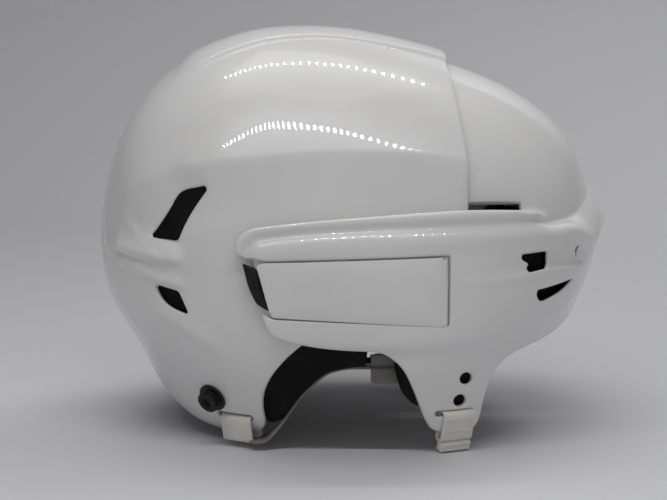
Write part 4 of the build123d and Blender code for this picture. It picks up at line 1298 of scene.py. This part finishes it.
COVER = shares_to_spots([
    (-0.176, 0.461), (-0.165, 0.467), (0.161, 0.479), (0.161, 0.320), (-0.148, 0.343), (-0.154, 0.359),
])
TAB = shares_to_spots([(-0.201, 0.467), (-0.177, 0.456), (-0.155, 0.358), (-0.176, 0.374), (-0.190, 0.410)])
TAB_BUTTON = [(-52.5, 98.5), (-49.5, 97.5), (-46.2, 86.5), (-48.5, 85.3), (-51.6, 88.5)]
LEVER = shares_to_spots([(-0.175, 0.452), (-0.028, 0.454), (-0.028, 0.355), (-0.155, 0.362)])
BED_LOOP = [(-52.0, 106.8), (49.0, 109.3), (49.0, 68.4), (-43.5, 73.4)]
TOOTH_GAP = [(-44.0, 99.5), (16.0, 99.5), (16.0, 80.0), (-44.0, 80.0)]
HINGE = (44.0325, -100.5353, 88.7775)
# Radius and two ends of the cover's barrel and of the pin, then the depths of the latch's faces and its teeth
BARREL = (1.5, -16.6, 16.6)
PIN = (0.8, -17.4, 17.4)
BED_OUTER = 4.0
BED_WALL = 1.5
LEVER_INNER = 4.3
LEVER_OUTER = 5.5
COVER_INNER = 5.8
TOOTH_INNER = 3.7
TOOTH_HALF = (0.8, 5.0)
TEETH_APART = 4.0
RACK_X, RACK_Z = spot((-0.070, 0.404))


def away_from(rim, base, low, high):
    """0 on a rim and 1 away from it, at either side."""
    return ease(np.abs(rim.beside(base)[0]), low, high)


def latches():
    latch_cover()
    pair("latch_pin_turned", rod(*PIN, 0.2, HINGE, (0, 0, 1), 24), "front", "steel", ("{}_latch_pin",))
    latch_lever()
    latch_bed()


def latch_cover():
    loop = loop_on_form(polygon_runs(COVER), [0.8, 0.8, 1.2, 1.2, 0.8, 0.8], 0.9, BAND)
    rim = edge_crease(loop, (0.9, 1.8), 1.2)

    def outer(places, base):
        return BAND + 0.15 - 0.55 * (1 - away_from(rim, base, 0.3, 2.1))

    cover = moulded(loop, [], outer, flat_at(COVER_INNER), [rim], 3.2, 0.45, 0.3, 3, BAND)
    barrel = rod(*BARREL, 0.3, HINGE, (0, 0, 1), 24)
    pair("latch_cover_moulding", joined(cover, barrel), "{}_latch", "shell_plastic", ("{}_latch_cover",))


def lever_tab():
    """The finger tab at the lever's rear end, with the button pressed into it."""
    loop = loop_on_form(polygon_runs(TAB), [1.2, 1.2, 1.0, 2.0, 4.0], 0.6, BAND)
    button = loop_on_form(polygon_runs(TAB_BUTTON), 1.4, 0.6, BAND)
    rim, button_rim = edge_crease(loop, (0.8, 1.6), 0.7), edge_crease(button, (-0.5, 0.0, 0.5), 0.6)

    def outer(places, base):
        height = BAND - 0.1 - 0.7 * (1 - away_from(rim, base, 0.4, 2.0))
        height -= 0.5 * np.exp(-(button_rim.beside(base)[0] / 0.45) ** 2)
        return height + np.where(within(places, button), 0.35, 0.0) * away_from(button_rim, base, 0.2, 0.9)

    return moulded(loop, [], outer, flat_at(LEVER_INNER), [rim, button_rim], 0.9, 0.4, 0.3, 3, BAND)


def latch_lever():
    loop = loop_on_form(polygon_runs(LEVER), 1.5, 2.0, LEVER_OUTER)
    plate = moulded(loop, [], flat_at(LEVER_OUTER), flat_at(LEVER_INNER), [], 5.0, 0.3, 0.3, 2, LEVER_OUTER)
    teeth = []
    half, tall = TOOTH_HALF
    for x in (RACK_X - TEETH_APART, RACK_X + TEETH_APART):
        corners = [
            (x + right * half, RACK_Z + up * tall) for right, up in ((-1, -1), (1, -1), (1, 1), (-1, 1))
        ]
        tooth = loop_on_form(polygon_runs(corners), 0.3, 0.6, LEVER_INNER)
        outer, inner = flat_at(LEVER_INNER + 0.2), flat_at(TOOTH_INNER)
        teeth.append(moulded(tooth, [], outer, inner, [], 1.5, 0.2, 0.2, 2, LEVER_INNER))
    pair("latch_lever_moulding", joined(plate, lever_tab(), *teeth), "{}_latch", "black_plastic",
         ("{}_latch_lever",))


def latch_bed():
    """The white bed behind the lever, with a gap for its teeth and a raised rim."""
    loop = loop_on_form(polygon_runs(BED_LOOP), [2.0, 0.5, 0.5, 2.0], 1.2, BED_OUTER)
    gap = loop_on_form(polygon_runs(TOOTH_GAP), 1.0, 1.2, BED_OUTER)
    rim = edge_crease(loop, (1.0, 2.0, 3.0), 1.4)

    def outer(places, base):
        off, _ = rim.beside(base)
        return BED_OUTER + 1.3 * (1 - soft_step(np.abs(off) - 2.0, 1.2))

    def inner(places, base):
        return outer(places, base) - BED_WALL

    bed = moulded(loop, [gap], outer, inner, [rim], 3.5, 0.3, 0.3, 2, BED_OUTER)
    pair("latch_bed", bed, "front", "shell_plastic")


# Foam pads

PAD_OUTER = -3.3
CAP_PAD_OUTER = -7.5
SKIRT_PAD_OUTER = 1.9
SIDE_PAD_THICKNESS = 8.0
FOREHEAD_THICKNESS = 14.0

# The pads across the mid plane: name, its two rays and its reach, outer face, thickness and body
MIDDLE_PADS = (
    ("crown_liner", (86.0, 128.0, 0.5), PAD_OUTER, 12.0, "rear"),
    ("rear_liner", (133.0, 171.0, 0.55), PAD_OUTER, 12.0, "rear"),
    ("front_crown_liner", (37.0, 79.0, 0.5), CAP_PAD_OUTER, 8.0, "front"),
)
FOREHEAD_LOW = spline(*zip(*shares_to_spots([
    (0.180, 0.275), (0.323, 0.290), (0.389, 0.305), (0.435, 0.330), (0.474, 0.345),
])))
SIDE_PAD = shares_to_spots([
    (-0.205, 0.200), (-0.190, 0.100), (-0.158, 0.056), (-0.136, 0.075), (-0.102, 0.142), (-0.055, 0.199),
    (-0.019, 0.211), (0.014, 0.215), (0.022, 0.240), (0.022, 0.297), (0.024, 0.539), (0.018, 0.719),
    (-0.211, 0.742), (-0.330, 0.690), (-0.410, 0.600), (-0.410, 0.350), (-0.300, 0.280),
])
TEMPLE_PAD = shares_to_spots([
    (0.071, 0.244), (0.075, 0.202), (0.089, 0.150), (0.110, 0.118), (0.140, 0.111), (0.205, 0.111),
    (0.222, 0.140), (0.232, 0.200), (0.235, 0.262), (0.175, 0.272),
])


def sector(theta_from, theta_to, across, corner=0.09):
    """A pad's outline next to the mid plane, as disc places between two rays from the ear."""
    low, high = math.radians(theta_from), math.radians(theta_to)
    inner = QUARTER - across
    out = [(low, QUARTER * 1.08), (low, inner + corner)]
    turns = np.linspace(0, QUARTER, 8)
    out += [(low + corner * (1 - math.cos(t)), inner + corner * (1 - math.sin(t))) for t in turns]
    out += [(high - corner * (1 - math.sin(t)), inner + corner * (1 - math.cos(t))) for t in turns]
    out += [(high, inner + corner), (high, QUARTER * 1.08)]
    dense = []
    for a, b in zip(out, out[1:] + out[:1]):
        a, b = np.array(a), np.array(b)
        steps = max(1, int(np.linalg.norm(b - a) / 0.012))
        dense += [a + (b - a) * k / steps for k in range(steps)]
    polar = np.array(dense)
    places = np.stack([polar[:, 1] * np.cos(polar[:, 0]), polar[:, 1] * np.sin(polar[:, 0])], -1)
    return with_crossings(thin(places, 0.4, 0.0))


def grooves(values, pitch, width, drop):
    """Narrow rounded grooves across a pad, at even places of the values."""
    off = np.abs((values / pitch + 0.5) % 1.0 - 0.5) * pitch
    return -drop * (1 - ease(off, 0.15 * width, width))


def middle_pad(name, rays, outer, thickness, body):
    """A pad across the mid plane, with grooves inside from one side to the other."""
    def inner(places, base):
        return outer - thickness - grooves(turn_of(places[:, 0], places[:, 1]), 14.0, 1.0, 1.6)

    edge = min(4.0, thickness * 0.42)
    made = moulded(sector(*rays), [], flat_at(outer), inner, [], 2.2, edge, edge, 6)
    piece = mesh_object(name + "_pad", *mirrored(*made), body, "foam", (name,))


def forehead_pad():
    """The pad behind the brow band, ribbed in front and grooved inside."""
    xs = np.linspace(84, 140, 12)
    low_end, high_end = (165.0, float(FOREHEAD_LOW(140))), (165.0, float(BAND_TOP(140)) - 12)
    bottom = [(x, float(FOREHEAD_LOW(x))) for x in xs] + [low_end]
    top = [high_end] + [(x, float(BAND_TOP(x)) - 12) for x in xs[::-1]]
    loop = loop_on_form([bottom, [low_end, high_end], top, [top[-1], bottom[0]]], [7.0, 0.2, 0.2, 7.0], 1.4,
                        SKIRT_PAD_OUTER)

    def outer(places, base):
        turn = np.degrees(np.arctan2(base[:, 1], base[:, 0]))
        return SKIRT_PAD_OUTER + grooves(turn, 3.4, 0.9, 1.1)

    def inner(places, base):
        turn = np.degrees(np.arctan2(base[:, 1], base[:, 0]))
        return SKIRT_PAD_OUTER - FOREHEAD_THICKNESS - grooves(turn + 7.5, 15.0, 2.2, 2.0)

    made = moulded(loop, [], outer, inner, [], 1.6, 4.5, 4.5, 6)
    mesh_object("forehead_liner_pad", *mirrored(*made), "front", "foam", ("forehead_liner",))


def side_pads():
    loop = loop_on_form(polygon_runs(SIDE_PAD), 5.0, 1.6, PAD_OUTER)
    loop = thin(loop * np.minimum(1, 0.955 / rho_of(loop))[:, None], 0.6, 0.0)

    def inner(places, base):
        return PAD_OUTER - SIDE_PAD_THICKNESS - grooves(base[:, 0] + base[:, 2] * 0.4 + 6, 26.0, 2.4, 1.5)

    made = moulded(loop, [], flat_at(PAD_OUTER), inner, [], 2.2, 3.2, 3.2, 5)
    for piece in pair("side_liner_pad", made, "rear", "foam", ("{}_side_liner",)):
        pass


def temple_pads():
    loop = loop_on_form(polygon_runs(TEMPLE_PAD), 3.0, 1.2, SKIRT_PAD_OUTER)
    hole = loop_on_form(circle_runs(*spot(ANCHOR_SHARES), 4.3, SKIRT_PAD_OUTER), 0.02, 0.8, SKIRT_PAD_OUTER)
    outer, inner = flat_at(SKIRT_PAD_OUTER), flat_at(SKIRT_PAD_OUTER - SIDE_PAD_THICKNESS)
    made = moulded(loop, [hole], outer, inner, [], 1.8, 2.6, 2.6, 5, SKIRT_PAD_OUTER)
    for piece in pair("temple_pad_foam", made, "front", "foam", ("{}_temple_pad",)):
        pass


def pads():
    for row in MIDDLE_PADS:
        middle_pad(*row)
    forehead_pad()
    side_pads()
    temple_pads()


# Strap loops, keepers and snap posts

ANCHOR_SHARES = (0.150, 0.165)
POST_SHARES = (-0.263, 0.124)
LOOP_WIDTH = 18.0
LOOP_WALL = 1.8
LOOP_OUT = 2.05

# The middle of the front loop, and the block under it
FRONT_LOOP_SHARES = (0.187, 0.074)
KEEPER_TOP = 5.6
KEEPER_BOTTOM = 0.0
KEEPER_HALF = 8.9
KEEPER_THICKNESS = 5.0


def loop_ring(frame_here, top, inside, bottom_z):
    """The strap loop: a flat band round the edge of the shell and through its slot."""
    origin, normal, along, down = frame_here
    out = LOOP_OUT - LOOP_WALL / 2

    def at(side, drop):
        return origin + normal * side + down * drop

    lowest = [(bottom_z + LOOP_WALL / 2 - at(side, 0)[2]) / down[2] for side in (out, inside)]
    corners = [at(out, top), at(out, lowest[0]), at(inside, min(lowest[1], lowest[0] + 1.5)), at(inside, top)]
    return ribbon(rounded_path(corners, 1.7, 0.6), along, LOOP_WIDTH, LOOP_WALL, 0.45, True)


def snap_posts():
    origin, normal, _, _ = frame_at(POST_SHARES)
    profile = rounded_profile([
        (0, 0.3), (8.0, 0.3), (8.0, 1.1), (7.4, 1.5), (5.3, 1.7), (5.0, 2.0), (5.0, 4.2), (6.0, 4.7),
        (6.0, 5.5), (5.4, 6.0), (3.4, 6.0), (3.0, 5.2), (2.2, 5.0), (2.2, 4.0), (0, 4.0),
    ], 0.35)
    shank = rod(2.8, -5.4, 0.6, 0.3, origin, normal, 32)
    pair("snap_post_turned", joined(lathe(profile, origin, normal, 56), shank), "rear", "black_plastic",
         ("{}_snap_post",))


def strap_loops():
    origin, _, along, down = frame_at(REAR_SLOT_SHARES)
    down = unit(0.4 * down + (0, 0, -0.6))
    normal = np.cross(down, along)
    ring = loop_ring((origin - normal * 0.6, normal, along, down), 0.4, -9.0, 2.8)
    pair("rear_loop_band", ring, "rear", "strap_plastic", ("{}_rear_strap_loop",))
    frame_here = frame_at(FRONT_LOOP_SHARES, SKIRT)
    origin, normal, along, down = frame_here
    top = (frame_at(FRONT_SLOT_SHARES, SKIRT)[0] - origin) @ down
    face = origin + normal * LOOP_OUT
    panel = panel_frame(face + down * (top * 0.5 + 3.2), normal, along, down, 12.5, 7.4)
    pair("front_loop_band", joined(loop_ring(frame_here, top, -4.4, 5.9), panel), "front", "strap_plastic",
         ("{}_front_strap_loop",))
    high, low = [(z - face[2]) / down[2] for z in (KEEPER_TOP, KEEPER_BOTTOM)]
    middle = face + normal * -KEEPER_THICKNESS / 2 + down * (high + low) / 2
    path = [middle + along * s for s in np.linspace(-KEEPER_HALF, KEEPER_HALF, 30)]
    block = ribbon(path, down, low - high - 0.1, KEEPER_THICKNESS, 0.9)
    rim = panel_frame(middle + normal * KEEPER_THICKNESS / 2, normal, along, down, 13.5, 2.6)
    pair("strap_keeper_block", joined(block, rim), "front", "strap_plastic", ("{}_strap_keeper",))


def panel_frame(middle, normal, along, down, width, height, thickness=0.7, wall=0.9):
    """A thin raised rim round a panel on a flat face."""
    corners = [
        middle + along * (right * width / 2) + down * (low * height / 2)
        for right, low in ((-1, -1), (1, -1), (1, 1), (-1, 1))
    ]
    return ribbon(rounded_path(corners, 1.2, 0.5), normal, thickness, wall, 0.25, True)


# Ear straps and sliders

STRAP_WIDTH = 15.0
STRAP_THICKNESS = 1.6
STRAP_ROUND = 0.5
STRAP_GAP = 0.3
SLIDER = spot((0.058, 0.200))
SLIDER_LENGTH = 17.0
SLIDER_TRAVEL = 6.0
SLIDER_WALL = 1.2
SLIDER_PLAY = 0.25

# The front strap's tab under the ear piece: its depth below the skin, its two ends and how far it sits higher
TAB_DEPTH = 16.0
TAB_ENDS = (-5.2, 7.0)
TAB_LIFT = 3.5
ROUTE = shares_to_spots([
    (-0.196, 0.0195), (-0.166, 0.0185), (-0.136, 0.062), (-0.102, 0.130), (-0.055, 0.187), (-0.019, 0.200),
])


def ear_straps():
    """The two ear straps and the slider that joins them, inside the side pad."""
    under_pad = PAD_OUTER - SIDE_PAD_THICKNESS
    strap_side = -form(unroll(np.array([SLIDER]), under_pad), under_pad)[0, 1] - 4.0
    y = STRAP_WIDTH / 2 - strap_side
    x, low_z = SLIDER
    high_z = low_z + STRAP_THICKNESS + STRAP_GAP
    anchor, normal, along, down = frame_at(ANCHOR_SHARES, SKIRT)
    tab_centre = anchor - normal * (TAB_DEPTH + STRAP_GAP)

    end = tab_centre[0] - TAB_ENDS[1] - 12.0 - 0.6
    path = rounded_path([(x, y, z) for x, z in [*ROUTE, (end, low_z)]], 9.0, 1.0, False)
    strap = ribbon(path, (0, 1, 0), STRAP_WIDTH, STRAP_THICKNESS, STRAP_ROUND)
    # The straps and the slider take the strap plastic darkened as painted shade
    pair("rear_strap_band", strap, "rear", "ear_strap_painted_shade", ("{}_rear_strap",))

    start = x - (SLIDER_LENGTH + SLIDER_TRAVEL) / 2
    run = [(across, y, high_z) for across in np.linspace(start, anchor[0], 34)]
    strap = ribbon(run, (0, 1, 0), STRAP_WIDTH, STRAP_THICKNESS, STRAP_ROUND)
    middle = tab_centre - normal * STRAP_THICKNESS / 2 + (0, 0, TAB_LIFT)
    tab_path = [middle + along * s for s in np.linspace(*TAB_ENDS, 16)]
    tab = ribbon(tab_path, down, 14.0, STRAP_THICKNESS, STRAP_ROUND)
    pair("front_strap_band", joined(strap, tab), "front", "ear_strap_painted_shade", ("{}_front_strap",))

    beyond = STRAP_THICKNESS / 2 + SLIDER_PLAY + SLIDER_WALL / 2
    low, high = low_z - beyond, high_z + beyond
    half = STRAP_WIDTH / 2 + SLIDER_PLAY + SLIDER_WALL / 2
    corners = [(x, y - half, low), (x, y + half, low), (x, y + half, high), (x, y - half, high)]
    sleeve = ribbon(rounded_path(corners, 0.9, 0.6), (1, 0, 0), SLIDER_LENGTH, SLIDER_WALL, 0.35, True)
    plate_path = [(x, y - half, low_z + s) for s in np.linspace(-8, 8, 20)]
    plate = ribbon(plate_path, (1, 0, 0), SLIDER_LENGTH, SLIDER_WALL, 0.35)
    pair("strap_slider_moulding", joined(sleeve, plate), "{}_slider", "ear_strap_painted_shade", ("{}_strap_slider",))


# Camera, light and floor

# Places and sizes of the stage in metres, and the lamps' power in watts
CAMERA_PLACE = (-0.0114, -0.7922, 0.2073)
CAMERA_PITCH = math.radians(8.0)
FOCAL_PIXELS = 1401.0
IMAGE_WIDTH = 667.0
SENSOR_WIDTH = 36.0
FLOOR_COLOUR = (0.69, 0.69, 0.712, 1)
FLOOR_HALF_WIDTH = 3.0
FLOOR_FRONT = -3.0
FLOOR_DROP = 0.0005
WALL_Y = 1.25
WALL_TOP = 3.0
WALL_BEND = 0.35
WORLD_COLOUR = (0.80, 0.80, 0.815, 1)
WORLD_STRENGTH = 0.24

# Large lamps: name, place, what each one points at, size, power and colour
LAMPS = (
    ("overhead", (-0.1, 0.05, 1.6), (0, 0, 0.1), 1.2, 3.4, (1.0, 0.99, 0.98)),
    ("fill", (0.4, -1.9, 0.35), (0, 0, 0.1), 1.4, 1.7, (0.985, 0.99, 1.0)),
    ("back", (0.9, 0.7, 1.5), (0.25, 1.3, 0.15), 0.8, 7.5, (1.0, 1.0, 1.0)),
)

# Rows of small lamps, whose reflections make the dotted lines on the gloss: name, y, ends in x, count,
# size along y and power
LAMP_ROWS = (
    ("upper_row", 0.04, -0.27, 0.19, 28, 0.024, 0.013),
    ("lower_row", -0.375, -0.38, 0.22, 34, 0.015, 0.039),
)
ROW_HEIGHT = 0.6
ROW_LAMP_WIDTH = 0.006


def link(obj):
    bpy.context.collection.objects.link(obj)
    return obj


def add_camera():
    camera = link(bpy.data.objects.new("camera", bpy.data.cameras.new("camera")))
    camera.location = CAMERA_PLACE
    camera.rotation_euler = (QUARTER - CAMERA_PITCH, 0, 0)
    camera.data.sensor_width = SENSOR_WIDTH
    camera.data.lens = SENSOR_WIDTH * FOCAL_PIXELS / IMAGE_WIDTH
    bpy.context.scene.camera = camera


def add_floor():
    """The floor, which bends up into the wall behind."""
    made, nodes, links, shader = material("floor")
    shader.inputs["Base Color"].default_value = FLOOR_COLOUR
    shader.inputs["Roughness"].default_value = 0.9
    mesh = bpy.data.meshes.new("floor")
    bm = bmesh.new()
    profile = [(FLOOR_FRONT, 0.0), (WALL_Y - WALL_BEND, 0.0)]
    profile += [
        (WALL_Y - WALL_BEND + WALL_BEND * math.sin(t), WALL_BEND - WALL_BEND * math.cos(t))
        for t in np.linspace(0.1, QUARTER, 12)
    ]
    profile.append((WALL_Y, WALL_TOP))
    ends = (-FLOOR_HALF_WIDTH, FLOOR_HALF_WIDTH)
    rows = [[bm.verts.new((x, y, z - FLOOR_DROP)) for x in ends] for y, z in profile]
    for a, b in zip(rows[:-1], rows[1:]):
        bm.faces.new((a[0], a[1], b[1], b[0]))
    bm.to_mesh(mesh)
    mesh.polygons.foreach_set("use_smooth", [True] * len(mesh.polygons))
    mesh.materials.append(made)
    floor = link(bpy.data.objects.new("floor", mesh))


def area_lamp(name, place, size, power):
    """A square area lamp that shines straight down until it is turned or reshaped."""
    lamp = link(bpy.data.objects.new(name, bpy.data.lights.new(name, "AREA")))
    lamp.location = place
    lamp.data.size = size
    lamp.data.energy = power
    return lamp


def add_lamps():
    for name, place, aim, size, power, colour in LAMPS:
        lamp = area_lamp(name, place, size, power)
        lamp.data.color = colour
        lamp.visible_glossy = name != "back"
        lamp.rotation_euler = (Vector(aim) - Vector(place)).to_track_quat("-Z", "Y").to_euler()
    for name, y, low, high, count, size_y, power in LAMP_ROWS:
        for number, x in enumerate(np.linspace(low, high, count)):
            lamp = area_lamp(f"{name}_{number}", (x, y, ROW_HEIGHT), ROW_LAMP_WIDTH, power)
            lamp.data.shape = "RECTANGLE"
            lamp.data.size_y = size_y


def add_world():
    world = bpy.data.worlds.new("world")
    bpy.context.scene.world = world
    world.use_nodes = True
    colour, strength = world.node_tree.nodes["Background"].inputs[:2]
    colour.default_value = WORLD_COLOUR
    strength.default_value = WORLD_STRENGTH
    bpy.context.scene.view_settings.view_transform = "Standard"


def stage_and_light():
    add_camera()
    add_floor()
    add_lamps()
    add_world()


SLOTS = {row["node"]: row["material_slot"] for row in frame["record"]["subparts"]}
for node_name, node in frame["nodes"].items():
    node.data.materials.clear()
    node.data.materials.append(MATERIALS[SLOTS[node_name]])
stage_and_light()
for build in (rear_shell, front_shell, latches, pads, snap_posts, strap_loops, ear_straps):
    build()
